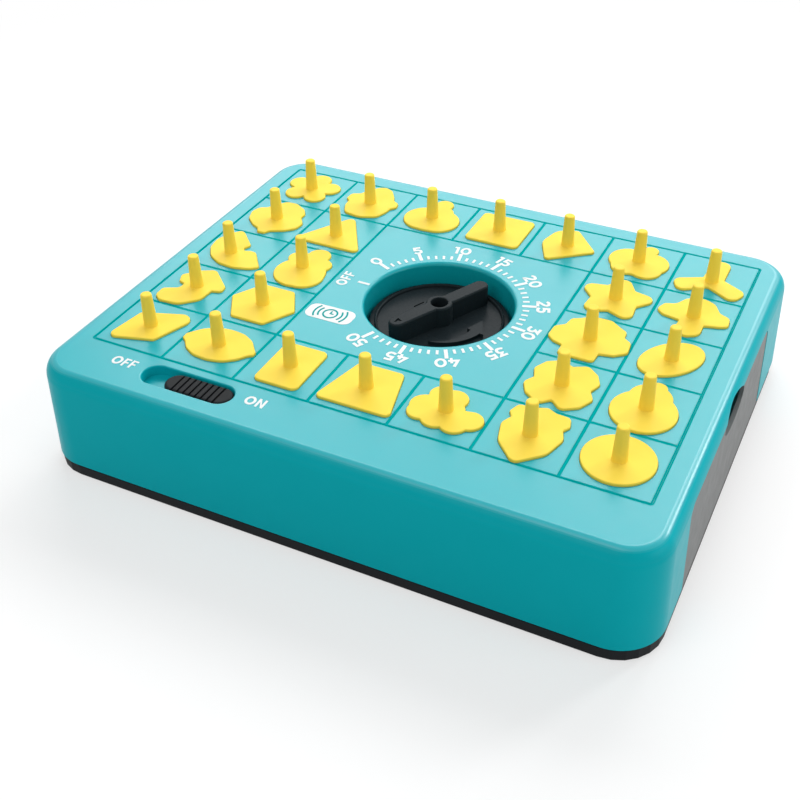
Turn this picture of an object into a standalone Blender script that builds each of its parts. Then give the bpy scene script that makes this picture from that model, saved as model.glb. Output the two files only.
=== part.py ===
"""A pop-up shape timer game: clockwork timer, spring-loaded tray, 26 shape pieces, switch and drawer.

Metres, +Z up. The origin lies under the middle of the base, on the surface that the game stands on.
The switch is at the front (-Y) and the drawer in the right side (+X).
"""

import math

import bmesh
import bpy
from mathutils import Matrix, Vector

# Clearances
GAP = 0.0003
OVERRUN = 0.002
SEAM = 0.0004

# Housing
WIDTH = 0.180
DEPTH = 0.145
BODY_TOP = 0.034
HOUSING_BOTTOM = 0.0035
HOUSING_WALL = 0.0022
TOP_THICKNESS = 0.0024
CORNER_RADIUS = 0.013
TOP_FILLET = 0.0048
DRAFT = 0.0011
BOSS_RADIUS = 0.0030
BOSS_CORNER_INSET = 0.0068
PILOT_RADIUS = 0.0011
PILOT_DEPTH = 0.014

# Base plate
BASE_INSET = 0.0003
BASE_FLOOR = 0.002
BASE_RIM = 0.010
BASE_RECESS_RADIUS = 0.003
BASE_TOP = HOUSING_BOTTOM - GAP

# Screws
SCREW_RADIUS = 0.0008
SCREW_HEAD_RADIUS = 0.0019
SCREW_HEAD_HEIGHT = 0.0008
SCREW_HOLE_RADIUS = 0.0013
SCREW_SINK_RADIUS = 0.0022
SCREW_SINK_DEPTH = 0.0014
BASE_SCREW_LENGTH = 0.0110
TIMER_SCREW_LENGTH = 0.0050

# Grid and tray
COLUMNS = 7
ROWS = 5
SIDE_BAND = 0.0095
BACK_BAND = 0.010
FRONT_BAND = 0.020
TRAY_RADIUS = 0.001
TRAY_PLATE = 0.0025
SKIRT_WALL = 0.0016
TRAY_TRAVEL = 0.007
TAB_REACH = 0.0012
TAB_HEIGHT = 0.0013
TAB_LENGTH = 0.010
TAB_WAY_SHARES = (-0.62, 0.62)
WELL_SHARE = 22 / 23
WELL_WALL = 0.0014

# Shape pieces
PIECE_SHARE = 10 / 23
PIECE_PROUD = 0.0007
POCKET_DEPTH = 0.0012
PEG_BASE_RADIUS = 0.0020
PEG_TOP_RADIUS = 0.0016
PEG_ROUNDING = 0.0005
OVERALL_HEIGHT = 0.045

# Tray springs
SPRING_SIDE_INSET = 0.0075
SPRING_BACK_INSET = 0.007
SPRING_FRONT_INSET = 0.0057
SPRING_RADIUS = 0.0030
SPRING_WIRE_RADIUS = 0.0004
SPRING_TURNS = 5
SPRING_POINTS_PER_TURN = 8
SPRING_POST_RADIUS = 0.0022

# Timer movement, round the timer's axis
PLATE_THICKNESS = 0.0016
PLATE_MARGIN = 0.006
PLATE_CORNER = 0.005
LOWER_PLATE_BOTTOM = 0.0046
UPPER_PLATE_BOTTOM = 0.0154
PILLAR_INSET = 0.004
PILLAR_RADIUS = 0.0020
PILLAR_BORE_RADIUS = 0.0011
MOVEMENT_BOSS_RADIUS = 0.0030
SHAFT_RADIUS = 0.0022
SHAFT_PIVOT_RADIUS = 0.0012
SHAFT_TOP = 0.0261
SHAFT_BORE_DEPTH = 0.0064
ARBOR_RADIUS = 0.0009
ARBOR_CLEARANCE = 0.0003

# Gears
MAIN_MODULE = 0.0006
MAIN_TEETH = 36
SECOND_PINION_TEETH = 9
MAIN_BOTTOM = 0.0070
MAIN_THICKNESS = 0.0016
FINE_MODULE = 0.0005
SECOND_TEETH = 32
ESCAPE_PINION_TEETH = 8
SECOND_BOTTOM = 0.0132
SECOND_THICKNESS = 0.0012
SECOND_DIRECTION = math.radians(135)
ESCAPE_DIRECTION = math.radians(240)
PINION_OVERHANG = 0.0002
ESCAPE_TEETH = 12
ESCAPE_TIP_RADIUS = 0.0046
ESCAPE_ROOT_RADIUS = 0.0034
ESCAPE_BOTTOM = 0.0104
ESCAPE_THICKNESS = 0.0012
ROOT_SHARE = 1.35
TIP_SHARE = 0.40
ADDENDUM_SHARE = 0.90
DEDENDUM_SHARE = 1.25

# Pallet lever, from its pivot
PALLET_DISTANCE = 0.0088
PALLET_SHARES = (
    (-0.59, 0.60), (-0.59, 0.50), (-0.17, -0.24), (0.17, -0.24),
    (0.59, 0.50), (0.59, 0.60), (0.48, 0.60), (0.0, 0.22), (-0.48, 0.60),
)
BALANCE_DISTANCE = 0.0040
BALANCE_RADIUS = 0.0025

# Mainspring
MAINSPRING_INNER = 0.0032
MAINSPRING_OUTER = 0.0094
MAINSPRING_STRIP = 0.0004
MAINSPRING_TURNS = 4
MAINSPRING_BOTTOM = 0.0092
MAINSPRING_TOP = 0.0126

# Release cam
CAM_BOTTOM = 0.0173
CAM_THICKNESS = 0.0014
CAM_RADIUS = 0.0050
CAM_LOBE_RADIUS = 0.0096
CAM_LOBE_WIDTH = 0.0030
ZERO_TURN = math.radians(270)
NOSE_DIRECTION = math.radians(168)

# Knob
KNOB_RING_GAP = 0.0011
KNOB_FACE = 0.0277
KNOB_WEB = 0.0024
KNOB_SKIRT_WALL = 0.0016
KNOB_SKIRT_BOTTOM = 0.0210
KNOB_HUB_RADIUS = 0.0045
KNOB_HUB_BOTTOM = 0.0197
KNOB_SEAT = 0.0013
GRIP_SHARE = 0.861
GRIP_WIDTH = 0.0048
GRIP_HUB_RADIUS = 0.0033
GRIP_HOLE_RADIUS = 0.0017
POINTER_DIRECTION = math.radians(243.4)
KNOB_SCREW_HEAD_RADIUS = 0.0014
KNOB_SCREW_LENGTH = 0.0070

# Latch lever, its places measured from the timer's axis
LATCH_X = -0.012
LATCH_Y = 0.012
LATCH_THICKNESS = 0.0014
LATCH_PIN_RADIUS = 0.0015
LATCH_SCREW_LENGTH = 0.0028
LATCH_SCREW_BORE_RADIUS = 0.0010
LATCH_SCREW_SHANK_RADIUS = 0.0007
LATCH_SCREW_HEAD_RADIUS = 0.0021
LATCH_UNIT = 0.010
LATCH_SHARES = (
    (-1.02, 0.12, 0.03), (-0.97, 0.26, 0.04), (-0.90, 1.20, 0.20), (-1.05, 1.52, 0.25),
    (-1.40, 1.52, 0.30), (-3.75, 1.05, 0.20), (-4.15, 1.00, 0.10), (-4.15, 0.54, 0.0),
    (-3.80, 0.54, 0.0), (-3.70, 0.76, 0.10), (-1.60, 0.95, 0.20), (-1.30, 0.75, 0.20),
    (-1.28, 0.16, 0.10),
)
HOOK_EDGE_Y = 0.0054
HOOK_BITE = 0.0012
HOOK_RISE = 0.0011
LEG_LEFT_X = -0.0410
LEG_WIDTH = 0.0025
LEG_THICKNESS = 0.0029
LEG_FOOT_HEIGHT = 0.0012

# Switch
SLOT_FROM_LEFT = 0.0460
SLOT_FROM_FRONT = 0.0131
SLOT_WIDTH = 0.008
SLOT_DEPTH = 0.003
SLOT_FLOOR = 0.0015
SLOT_BOSS_MARGIN = 0.0012
SWITCH_TRAVEL = 0.007
BUTTON_LENGTH = 0.0206
BUTTON_DROP = 0.0004
STEM_RADIUS = 0.0012
STEM_OVERHANG = 0.0006

# Stop lever
STOP_PIVOT_DISTANCE = 0.0302
STOP_BOTTOM = 0.0104
STOP_THICKNESS = 0.0012
STOP_PIN_RADIUS = 0.0015
STOP_SHOULDER_RADIUS = 0.0026
STOP_SCREW_LENGTH = 0.0060
STOP_FORK_CLEARANCE = 0.0004
STOP_FORK_ARM = 0.0018
STOP_FORK_REACH = 0.0030
STOP_REST = Vector((-0.00935, 0.0038))
STOP_WIDTH = 0.0040
STOP_TIP_RADIUS = 0.0005
STOP_PIVOT_ROUND = 0.0036

# Drawer
DRAWER_SPRING_CLEARANCE = 0.0008
DRAWER_BACK_MARGIN = 0.0225
DRAWER_SKIRT_CLEARANCE = 0.002
DRAWER_STOP_DISTANCE = 0.003
DRAWER_WALL = 0.0015
DRAWER_FRONT_OVERLAP = 0.005
DRAWER_FRONT_BELOW_TOP = 0.004
DRAWER_FRONT_THICKNESS = 0.0034
DRAWER_FRONT_CORNER = 0.003
DRAWER_INSET = 0.0001
NOTCH_LENGTH = 0.017
NOTCH_HEIGHT = 0.009
NOTCH_RISE = 0.0015
GUIDE_THICKNESS = 0.0013
GUIDE_TOP = 0.009
GUIDE_PLATE_CLEARANCE = 0.002
RAIL_WIDTH = 0.002
RAIL_INSET = 0.001

# Facets
ROUND_SIDES = 12
SMALL_SIDES = 8
KNOB_SIDES = 40
WELL_SIDES = 48
CORNER_STEPS = 6
FILLET_STEPS = 4
ARC_STEP = math.radians(50)
LOBE_POINTS = 30
STEP_TOLERANCE_SHARE = 0.001

# Derived levels and places
POCKET_FLOOR = BODY_TOP - POCKET_DEPTH
PIECE_BOTTOM = POCKET_FLOOR + GAP
PIECE_TOP = BODY_TOP + PIECE_PROUD
TRAY_PLATE_BOTTOM = BODY_TOP - TRAY_PLATE
SKIRT_BOTTOM = BODY_TOP - TOP_THICKNESS - GAP - TRAY_TRAVEL - TAB_HEIGHT
TRAY_WIDTH = WIDTH - 2 * SIDE_BAND
TRAY_DEPTH = DEPTH - FRONT_BAND - BACK_BAND
CELL_WIDTH = TRAY_WIDTH / COLUMNS
CELL_DEPTH = TRAY_DEPTH / ROWS
CELL = min(CELL_WIDTH, CELL_DEPTH)
GRID_Y = (FRONT_BAND - BACK_BAND) / 2
PIECE_UNIT = CELL * PIECE_SHARE
WELL_RADIUS = CELL * WELL_SHARE
KNOB_RADIUS = WELL_RADIUS - KNOB_RING_GAP
GRIP_LENGTH = 2 * KNOB_RADIUS * GRIP_SHARE
SPRING_X = TRAY_WIDTH / 2 - SPRING_SIDE_INSET
SPRING_BACK_Y = GRID_Y + TRAY_DEPTH / 2 - SPRING_BACK_INSET
SPRING_FRONT_Y = GRID_Y - TRAY_DEPTH / 2 + SPRING_FRONT_INSET
SPRING_REACH = SPRING_RADIUS + SPRING_WIRE_RADIUS
LOWER_PLATE_TOP = LOWER_PLATE_BOTTOM + PLATE_THICKNESS
UPPER_PLATE_TOP = UPPER_PLATE_BOTTOM + PLATE_THICKNESS
SECOND_DISTANCE = (MAIN_TEETH + SECOND_PINION_TEETH) * MAIN_MODULE / 2
ESCAPE_DISTANCE = (SECOND_TEETH + ESCAPE_PINION_TEETH) * FINE_MODULE / 2
AXIS = Vector((0, GRID_Y))
SECOND_AXIS = AXIS + Vector((math.cos(SECOND_DIRECTION), math.sin(SECOND_DIRECTION))) * SECOND_DISTANCE
ESCAPE_AXIS = SECOND_AXIS + Vector((math.cos(ESCAPE_DIRECTION), math.sin(ESCAPE_DIRECTION))) * ESCAPE_DISTANCE
PALLET_AXIS = ESCAPE_AXIS - Vector((0, PALLET_DISTANCE))
BALANCE_CENTRE = PALLET_AXIS - Vector((0, BALANCE_DISTANCE))
SECOND_TIP_RADIUS = (SECOND_TEETH / 2 + ADDENDUM_SHARE) * FINE_MODULE
PLATE_HALF = abs(SECOND_AXIS.x) + SECOND_TIP_RADIUS + PLATE_MARGIN
PILLAR_REACH = PLATE_HALF - PILLAR_INSET
LATCH_AXIS = AXIS + Vector((LATCH_X, LATCH_Y))
SLOT_X = SLOT_FROM_LEFT - WIDTH / 2
SLOT_Y = SLOT_FROM_FRONT - DEPTH / 2
SLOT_LENGTH = BUTTON_LENGTH + SWITCH_TRAVEL + 2 * GAP
BUTTON_WIDTH = SLOT_WIDTH - 2 * GAP
BUTTON_X = SLOT_X + SWITCH_TRAVEL / 2
BUTTON_TOP = BODY_TOP - BUTTON_DROP
STEM_BOTTOM = STOP_BOTTOM - STEM_OVERHANG
STOP_AXIS = Vector((BUTTON_X, SLOT_Y + STOP_PIVOT_DISTANCE))
LATCH_BOTTOM = UPPER_PLATE_TOP + GAP
LATCH_TOP = LATCH_BOTTOM + LATCH_THICKNESS
LATCH_SCREW_TOP = LATCH_TOP + 2 * GAP + SCREW_HEAD_HEIGHT
WELL_BOTTOM = LATCH_SCREW_TOP + GAP
STOP_TOP = STOP_BOTTOM + STOP_THICKNESS
GUIDE_LEFT = PLATE_HALF + GUIDE_PLATE_CLEARANCE
DRAWER_FACE = WIDTH / 2 - DRAWER_INSET
DRAWER_BOX_LEFT = GUIDE_LEFT + DRAWER_STOP_DISTANCE
DRAWER_BOX_FRONT = SPRING_FRONT_Y + SPRING_REACH + DRAWER_SPRING_CLEARANCE + GUIDE_THICKNESS + GAP
DRAWER_BOX_BACK = SPRING_BACK_Y - DRAWER_BACK_MARGIN
DRAWER_BOX_WIDTH = DRAWER_BOX_BACK - DRAWER_BOX_FRONT
DRAWER_BOX_TOP = SKIRT_BOTTOM - DRAWER_SKIRT_CLEARANCE
DRAWER_Y = (DRAWER_BOX_FRONT + DRAWER_BOX_BACK) / 2
DRAWER_FRONT_WIDTH = DRAWER_BOX_WIDTH + 2 * DRAWER_FRONT_OVERLAP
DRAWER_FRONT_TOP = BODY_TOP - DRAWER_FRONT_BELOW_TOP

# Outlines of the shape pieces, in shares of PIECE_UNIT from the cell's middle: x, y and the corner's radius
SQUARE_SHARES = ((-0.86, 0.89, 0.16), (-0.86, -0.88, 0.18), (0.91, -0.88, 0.18), (0.91, 0.89, 0.16))
ACORN_SHARES = (
    (0.03, 1.08, 0.20), (-0.22, 0.98, 0.20), (-0.48, 0.62, 0.30), (-0.60, 0.36, 0.10), (-0.88, 0.22, 0.15),
    (-0.90, -0.10, 0.12), (-0.74, -0.26, 0.06), (-0.72, -0.55, 0.30), (-0.52, -1.00, 0.30),
    (0.08, -1.10, 0.50), (0.62, -0.86, 0.30), (0.76, -0.45, 0.30), (0.78, -0.22, 0.06), (0.93, -0.04, 0.12),
    (0.88, 0.22, 0.15), (0.66, 0.35, 0.10), (0.55, 0.58, 0.30), (0.30, 0.95, 0.20),
)
SECTOR_SHARES = (
    (0.05, 0.98, 0.12), (-0.60, 0.76, 0.50), (-0.82, -0.10, 0.60), (-0.36, -1.08, 0.12),
    (0.94, -0.08, 0.12),
)
PROPELLER_SHARES = (
    (-0.22, 1.00, 0.26), (-0.28, -0.10, 0.08), (-1.10, -0.50, 0.24), (-0.82, -1.12, 0.24),
    (-0.02, -0.58, 0.08), (0.82, -1.12, 0.24), (1.10, -0.50, 0.24), (0.34, -0.06, 0.08),
    (0.34, 1.00, 0.26),
)
TURNIP_SHARES = (
    (0.28, 1.04, 0.20), (-0.30, 1.04, 0.20), (-0.68, 0.78, 0.20), (-0.74, 0.42, 0.08),
    (-0.99, 0.20, 0.20), (-0.86, -0.38, 0.40), (0.02, -1.10, 0.15), (0.92, -0.32, 0.40),
    (0.93, 0.22, 0.15), (0.70, 0.42, 0.08), (0.62, 0.80, 0.20),
)
TRIANGLE_SHARES = ((0.00, 1.12, 0.18), (-1.17, -0.87, 0.15), (1.17, -0.87, 0.15))
CRESCENT_SHARES = (
    (-0.50, 1.06, 0.10), (-0.92, 0.62, 0.40), (-0.98, -0.10, 0.60), (-0.50, -0.80, 0.60),
    (0.20, -1.02, 0.50), (0.92, -0.86, 0.30), (1.12, -0.58, 0.12), (0.44, 0.18, 0.15),
    (0.19, 0.10, 0.06), (0.10, 0.50, 0.30), (-0.20, 0.86, 0.30),
)
TREE_SHARES = (
    (0.30, 1.10, 0.25), (-0.28, 1.10, 0.25), (-0.55, 0.88, 0.10), (-0.80, 0.74, 0.15),
    (-0.86, 0.40, 0.12), (-1.12, 0.20, 0.20), (-1.14, -0.30, 0.20), (-0.92, -0.50, 0.15),
    (-0.62, -0.60, 0.06), (-0.62, -1.02, 0.12), (0.42, -1.02, 0.12), (0.44, -0.60, 0.06),
    (0.84, -0.52, 0.15), (1.16, -0.26, 0.20), (1.10, 0.26, 0.20), (0.86, 0.42, 0.12),
    (0.84, 0.72, 0.15), (0.62, 0.86, 0.15),
)
MUSHROOM_SHARES = (
    (0.03, 1.00, 0.20), (-0.42, 0.76, 0.30), (-0.80, 0.34, 0.15), (-0.66, 0.02, 0.12),
    (-0.42, -0.06, 0.08), (-0.44, -0.30, 0.15), (-0.88, -0.52, 0.15), (-0.86, -0.92, 0.20),
    (-0.60, -1.10, 0.20), (0.02, -1.06, 0.40), (0.50, -0.60, 0.35), (0.54, -0.06, 0.06),
    (0.84, 0.02, 0.12), (0.80, 0.30, 0.20),
)
CLOVER_SHARES = (
    (0.02, 0.84, 0.06), (-0.34, 1.02, 0.20), (-0.72, 0.78, 0.20), (-0.92, 0.38, 0.18),
    (-0.78, 0.00, 0.06), (-0.96, -0.32, 0.18), (-0.76, -0.72, 0.20), (-0.30, -1.04, 0.20),
    (0.00, -0.76, 0.06), (0.32, -1.06, 0.20), (0.76, -0.78, 0.20), (0.98, -0.34, 0.18),
    (0.80, 0.00, 0.06), (0.94, 0.36, 0.18), (0.76, 0.74, 0.20), (0.40, 1.04, 0.20),
)
RHOMBOID_SHARES = ((-0.66, 0.42, 0.12), (-0.88, -0.98, 0.20), (0.50, -0.58, 0.12), (1.08, 1.04, 0.30))
LEMON_SHARES = (
    (-0.02, 0.76, 0.60), (-0.75, 0.50, 0.40), (-1.16, 0.16, 0.10), (-1.14, -0.10, 0.10),
    (-0.70, -0.56, 0.40), (0.00, -0.74, 0.60), (0.70, -0.54, 0.40), (1.12, -0.12, 0.10),
    (1.10, 0.10, 0.10), (0.66, 0.50, 0.40),
)
RECTANGLE_SHARES = ((-0.65, 0.92, 0.15), (-0.65, -0.93, 0.18), (0.68, -0.93, 0.18), (0.68, 0.92, 0.18))
TRAPEZOID_SHARES = ((-0.66, 0.92, 0.15), (-1.10, -0.90, 0.15), (1.12, -0.90, 0.15), (0.68, 0.92, 0.15))
STRAWBERRY_SHARES = (
    (0.05, 1.18, 0.12), (-0.30, 1.04, 0.08), (-0.70, 1.02, 0.16), (-0.82, 0.66, 0.10),
    (-0.69, 0.46, 0.06), (-0.84, 0.14, 0.30), (-0.66, -0.54, 0.50), (-0.02, -1.20, 0.20),
    (0.64, -0.58, 0.50), (0.84, 0.12, 0.30), (0.70, 0.46, 0.06), (0.82, 0.66, 0.10),
    (0.72, 1.02, 0.16), (0.32, 1.05, 0.08),
)

# Round lobes of the shape pieces, in the same shares: x, y and the lobe's radius
PEAR_SHARES = (
    (0.03, 0.78, 0.30), (0.04, 0.20, 0.52), (-0.20, -0.28, 0.70), (0.26, -0.28, 0.70),
    (0.03, -0.22, 0.78),
)
APPLE_SHARES = (
    (0.18, 0.74, 0.24), (-0.28, -0.02, 0.64), (0.34, -0.02, 0.60), (0.02, -0.10, 0.72),
    (-0.28, -0.42, 0.46), (0.34, -0.42, 0.48),
)
CLUB_SHARES = (
    (0.02, 0.52, 0.44), (-0.62, 0.03, 0.42), (0.58, 0.02, 0.38), (-0.02, 0.05, 0.50),
    (-0.06, -0.40, 0.34), (-0.22, -0.70, 0.26), (0.08, -0.72, 0.27),
)
GOURD_SHARES = (
    (0.15, 0.76, 0.37), (-0.36, 0.40, 0.34), (0.48, 0.30, 0.33), (0.06, 0.10, 0.52),
    (0.08, -0.32, 0.80), (0.30, -0.48, 0.62),
)
SNOWMAN_SHARES = ((0.05, 0.86, 0.26), (-0.02, 0.40, 0.58), (-0.02, -0.22, 0.88))
CLOUD_SHARES = (
    (-0.36, 0.56, 0.34), (0.02, 0.50, 0.38), (-0.58, -0.02, 0.42), (0.72, -0.16, 0.38),
    (-0.60, -0.28, 0.36), (-0.12, -0.38, 0.40), (0.40, -0.40, 0.40), (0.0, 0.0, 0.50),
)
CIRCLE_SHARES = ((-0.02, 0.02, 0.94),)
FLOWER_PETAL_SHARE = 0.37
FLOWER_RING_SHARE = 0.60
FLOWER_CORE_SHARE = 0.50
FLOWER_RISE_SHARE = 0.03
FLOWER_PETALS = 5
STAR_POINTS = 5
STAR_TIP_SHARE = 1.30
STAR_TIP_ROUND_SHARE = 0.26
STAR_NOTCH_SHARE = 0.72
STAR_NOTCH_ROUND_SHARE = 0.08
HEXAGON_SHARE = 1.06
HEXAGON_ROUND_SHARE = 0.12
OVAL_LONG_SHARE = 1.02
OVAL_SHORT_SHARE = 0.68
OVAL_TILT = math.radians(53)

# Where a peg stands away from its cell's middle, in the same shares
PEG_PLACE_SHARES = {
    "acorn": (0.0, -0.10), "pear": (0.0, -0.14), "propeller": (0.0, -0.21), "triangle": (0.0, -0.17),
    "crescent": (-0.17, -0.19), "snowman": (0.0, -0.06),
}


def clear_scene():
    for old in list(bpy.data.objects):
        bpy.data.objects.remove(old, do_unlink=True)


def paint(name, colour, roughness, metallic=0.0):
    """A plain Principled material."""
    material = bpy.data.materials.new(name)
    material.use_nodes = True
    shader = material.node_tree.nodes["Principled BSDF"]
    shader.inputs["Base Color"].default_value = (*colour, 1)
    shader.inputs["Roughness"].default_value = roughness
    shader.inputs["Metallic"].default_value = metallic
    material.diffuse_color = (*colour, 1)
    return material


# Outlines, as lists of x and y that run anticlockwise


def polar(radius, angle, centre=(0, 0)):
    return Vector((centre[0] + radius * math.cos(angle), centre[1] + radius * math.sin(angle)))


def circle(radius, centre=(0, 0), sides=ROUND_SIDES, turn=0.0):
    return [polar(radius, turn + 2 * math.pi * i / sides, centre) for i in range(sides)]


def rounded(corners, arc_step=ARC_STEP):
    """The outline through corners of x, y and radius, each rounded by an arc that touches both its sides."""
    points = []
    count = len(corners)
    for i, (x, y, radius) in enumerate(corners):
        here = Vector((x, y))
        before = Vector(corners[i - 1][:2]) - here
        after = Vector(corners[(i + 1) % count][:2]) - here
        if radius == 0:
            points.append(here)
            continue
        half = before.angle(after) / 2
        reach = min(radius / math.tan(half), before.length / 2, after.length / 2)
        radius = reach * math.tan(half)
        centre = here + (before.normalized() + after.normalized()).normalized() * radius / math.sin(half)
        start = here + before.normalized() * reach - centre
        end = here + after.normalized() * reach - centre
        sweep = start.angle_signed(end) * -1
        steps = max(1, math.ceil(abs(sweep) / arc_step - STEP_TOLERANCE_SHARE))
        begin = math.atan2(start.y, start.x)
        points += [polar(radius, begin + sweep * s / steps, centre) for s in range(steps + 1)]
    return points


def rectangle(low, high, radius=0.0, arc_step=ARC_STEP):
    x0, y0 = low
    x1, y1 = high
    return rounded([(x0, y0, radius), (x1, y0, radius), (x1, y1, radius), (x0, y1, radius)], arc_step)


def stadium(length, width, centre, turn=0.0, end_steps=SMALL_SIDES):
    """A slot shape with full-round ends, its length along the direction turn."""
    along = polar((length - width) / 2, turn)
    middle = Vector(centre)
    points = []
    for side in (1, -1):
        first = turn - side * math.pi / 2
        end = middle + side * along
        points += [polar(width / 2, first + math.pi * s / end_steps, end) for s in range(end_steps + 1)]
    return points


def lobes(shares, unit, grow=0.0, points=LOBE_POINTS):
    """The outer edge of round lobes, seen from the middle."""
    edge = []
    for i in range(points):
        ray = polar(1, 2 * math.pi * (i + 0.5) / points)
        reach = 0.0
        for x, y, radius in shares:
            along = ray.dot(Vector((x, y)))
            aside = Vector((x, y)).length_squared - along * along
            if aside < radius * radius:
                reach = max(reach, along + math.sqrt(radius * radius - aside))
        edge.append(ray * (reach * unit + grow))
    return edge


def grown(outline, distance):
    """The outline moved outwards by a distance, each side kept parallel."""
    points = []
    count = len(outline)
    for i, here in enumerate(outline):
        before = (here - outline[i - 1]).normalized()
        after = (outline[(i + 1) % count] - here).normalized()
        normal_before = Vector((before.y, -before.x))
        normal_after = Vector((after.y, -after.x))
        middle = (normal_before + normal_after).normalized()
        points.append(here + middle * distance / middle.dot(normal_after))
    return points


def gear_outline(teeth, module, turn, centre=(0, 0)):
    """Straight-flanked teeth, one of them centred on the direction turn."""
    pitch_radius = teeth * module / 2
    root = pitch_radius - DEDENDUM_SHARE * module
    tip = pitch_radius + ADDENDUM_SHARE * module
    half = math.pi / 2 / teeth
    points = []
    for k in range(teeth):
        middle = turn + 2 * math.pi * k / teeth
        points.append(polar(root, middle - half * ROOT_SHARE, centre))
        points.append(polar(tip, middle - half * TIP_SHARE, centre))
        points.append(polar(tip, middle + half * TIP_SHARE, centre))
        points.append(polar(root, middle + half * ROOT_SHARE, centre))
    return points


# Meshes


def slab(outline, bottom, top):
    """An upright prism on an outline."""
    mesh = bmesh.new()
    low = [mesh.verts.new((x, y, bottom)) for x, y in outline]
    high = [mesh.verts.new((x, y, top)) for x, y in outline]
    mesh.faces.new(reversed(low))
    mesh.faces.new(high)
    for i in range(len(outline)):
        mesh.faces.new((low[i - 1], low[i], high[i], high[i - 1]))
    return mesh


def cylinder(radius, bottom, top, centre=(0, 0), sides=ROUND_SIDES):
    return slab(circle(radius, centre, sides), bottom, top)


def block(low, high):
    return slab(rectangle(low[:2], high[:2]), low[2], high[2])


def bar_along_x(outline, left, right):
    """A prism along X, its outline given as y and z."""
    mesh = slab(outline, left, right)
    mesh.transform(Matrix(((0, 0, 1, 0), (1, 0, 0, 0), (0, 1, 0, 0), (0, 0, 0, 1))))
    return mesh


def stack(loops, heights):
    """A closed body through loops that lie at heights."""
    mesh = bmesh.new()
    rings = []
    for loop, height in zip(loops, heights):
        rings.append([mesh.verts.new((x, y, height)) for x, y in loop])
    mesh.faces.new(reversed(rings[0]))
    mesh.faces.new(rings[-1])
    for low, high in zip(rings, rings[1:]):
        for i in range(len(low)):
            mesh.faces.new((low[i - 1], low[i], high[i], high[i - 1]))
    return mesh


def merged(*meshes):
    """Separate bodies in one mesh."""
    whole = bmesh.new()
    for mesh in meshes:
        copy = bpy.data.meshes.new("copy")
        mesh.to_mesh(copy)
        whole.from_mesh(copy)
        bpy.data.meshes.remove(copy)
    return whole


def place(name, mesh, material, origin=(0, 0, 0)):
    """An object whose mesh is given in world places and whose origin lies at a point."""
    origin = Vector(origin)
    mesh.transform(Matrix.Translation(-origin))
    bmesh.ops.recalc_face_normals(mesh, faces=mesh.faces)
    data = bpy.data.meshes.new(name)
    mesh.to_mesh(data)
    mesh.free()
    item = bpy.data.objects.new(name, data)
    item.location = origin
    bpy.context.collection.objects.link(item)
    if material:
        data.materials.append(material)
    return item


def apply_step(item, operation, mesh):
    """A Boolean step with a hidden tool body."""
    tool = place(f"{item.name}_tool", mesh, None)
    tool.hide_render = True
    tool.display_type = "WIRE"
    step = item.modifiers.new(operation.lower(), "BOOLEAN")
    step.operation = operation
    step.object = tool
    return item


def cut(item, mesh):
    return apply_step(item, "DIFFERENCE", mesh)


def add(item, mesh):
    return apply_step(item, "UNION", mesh)


def screw(centre, head_bottom, head_height, head_radius, shank_radius, shank_end):
    """A cheese-head screw: the shank runs from the head's inner face to shank_end."""
    head = circle(head_radius, centre, SMALL_SIDES)
    shank = circle(shank_radius, centre, SMALL_SIDES)
    head_top = head_bottom + head_height
    if shank_end > head_top:
        return stack([head, head, shank, shank], [head_bottom, head_top, head_top, shank_end])
    return stack([shank, shank, head, head], [shank_end, head_bottom, head_bottom, head_top])


# Places that several pieces share


def movement_corners():
    return [AXIS + Vector((x, y)) * PILLAR_REACH for y in (-1, 1) for x in (-1, 1)]


def movement_fixings():
    """The two corners, across from each other, where screws from below hold the movement."""
    corners = movement_corners()
    return [corners[0], corners[3]]


def housing_bosses():
    corner_x = WIDTH / 2 - BOSS_CORNER_INSET
    corner_y = DEPTH / 2 - BOSS_CORNER_INSET
    return [(x, y) for x in (-corner_x, corner_x) for y in (-corner_y, corner_y)]


def spring_places():
    return [(x, y) for y in (SPRING_FRONT_Y, SPRING_BACK_Y) for x in (-SPRING_X, SPRING_X)]


def cell_centre(row, column):
    """The middle of a cell: row 0 at the back, column 0 at the left."""
    x = (column - (COLUMNS - 1) / 2) * CELL_WIDTH
    y = GRID_Y + ((ROWS - 1) / 2 - row) * CELL_DEPTH
    return Vector((x, y))


def tray_outline(margin=0.0, radius=TRAY_RADIUS):
    low = (-TRAY_WIDTH / 2 - margin, GRID_Y - TRAY_DEPTH / 2 - margin)
    high = (TRAY_WIDTH / 2 + margin, GRID_Y + TRAY_DEPTH / 2 + margin)
    return rectangle(low, high, radius)


# Housing and base


def body_loop(inset):
    half_x = WIDTH / 2 - inset
    half_y = DEPTH / 2 - inset
    return rectangle((-half_x, -half_y), (half_x, half_y), CORNER_RADIUS - inset, math.pi / 2 / CORNER_STEPS)


def wall_lean(height):
    """How far the outer walls have come inwards at a height."""
    return DRAFT * (height - HOUSING_BOTTOM) / (BODY_TOP - TOP_FILLET - HOUSING_BOTTOM)


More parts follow.
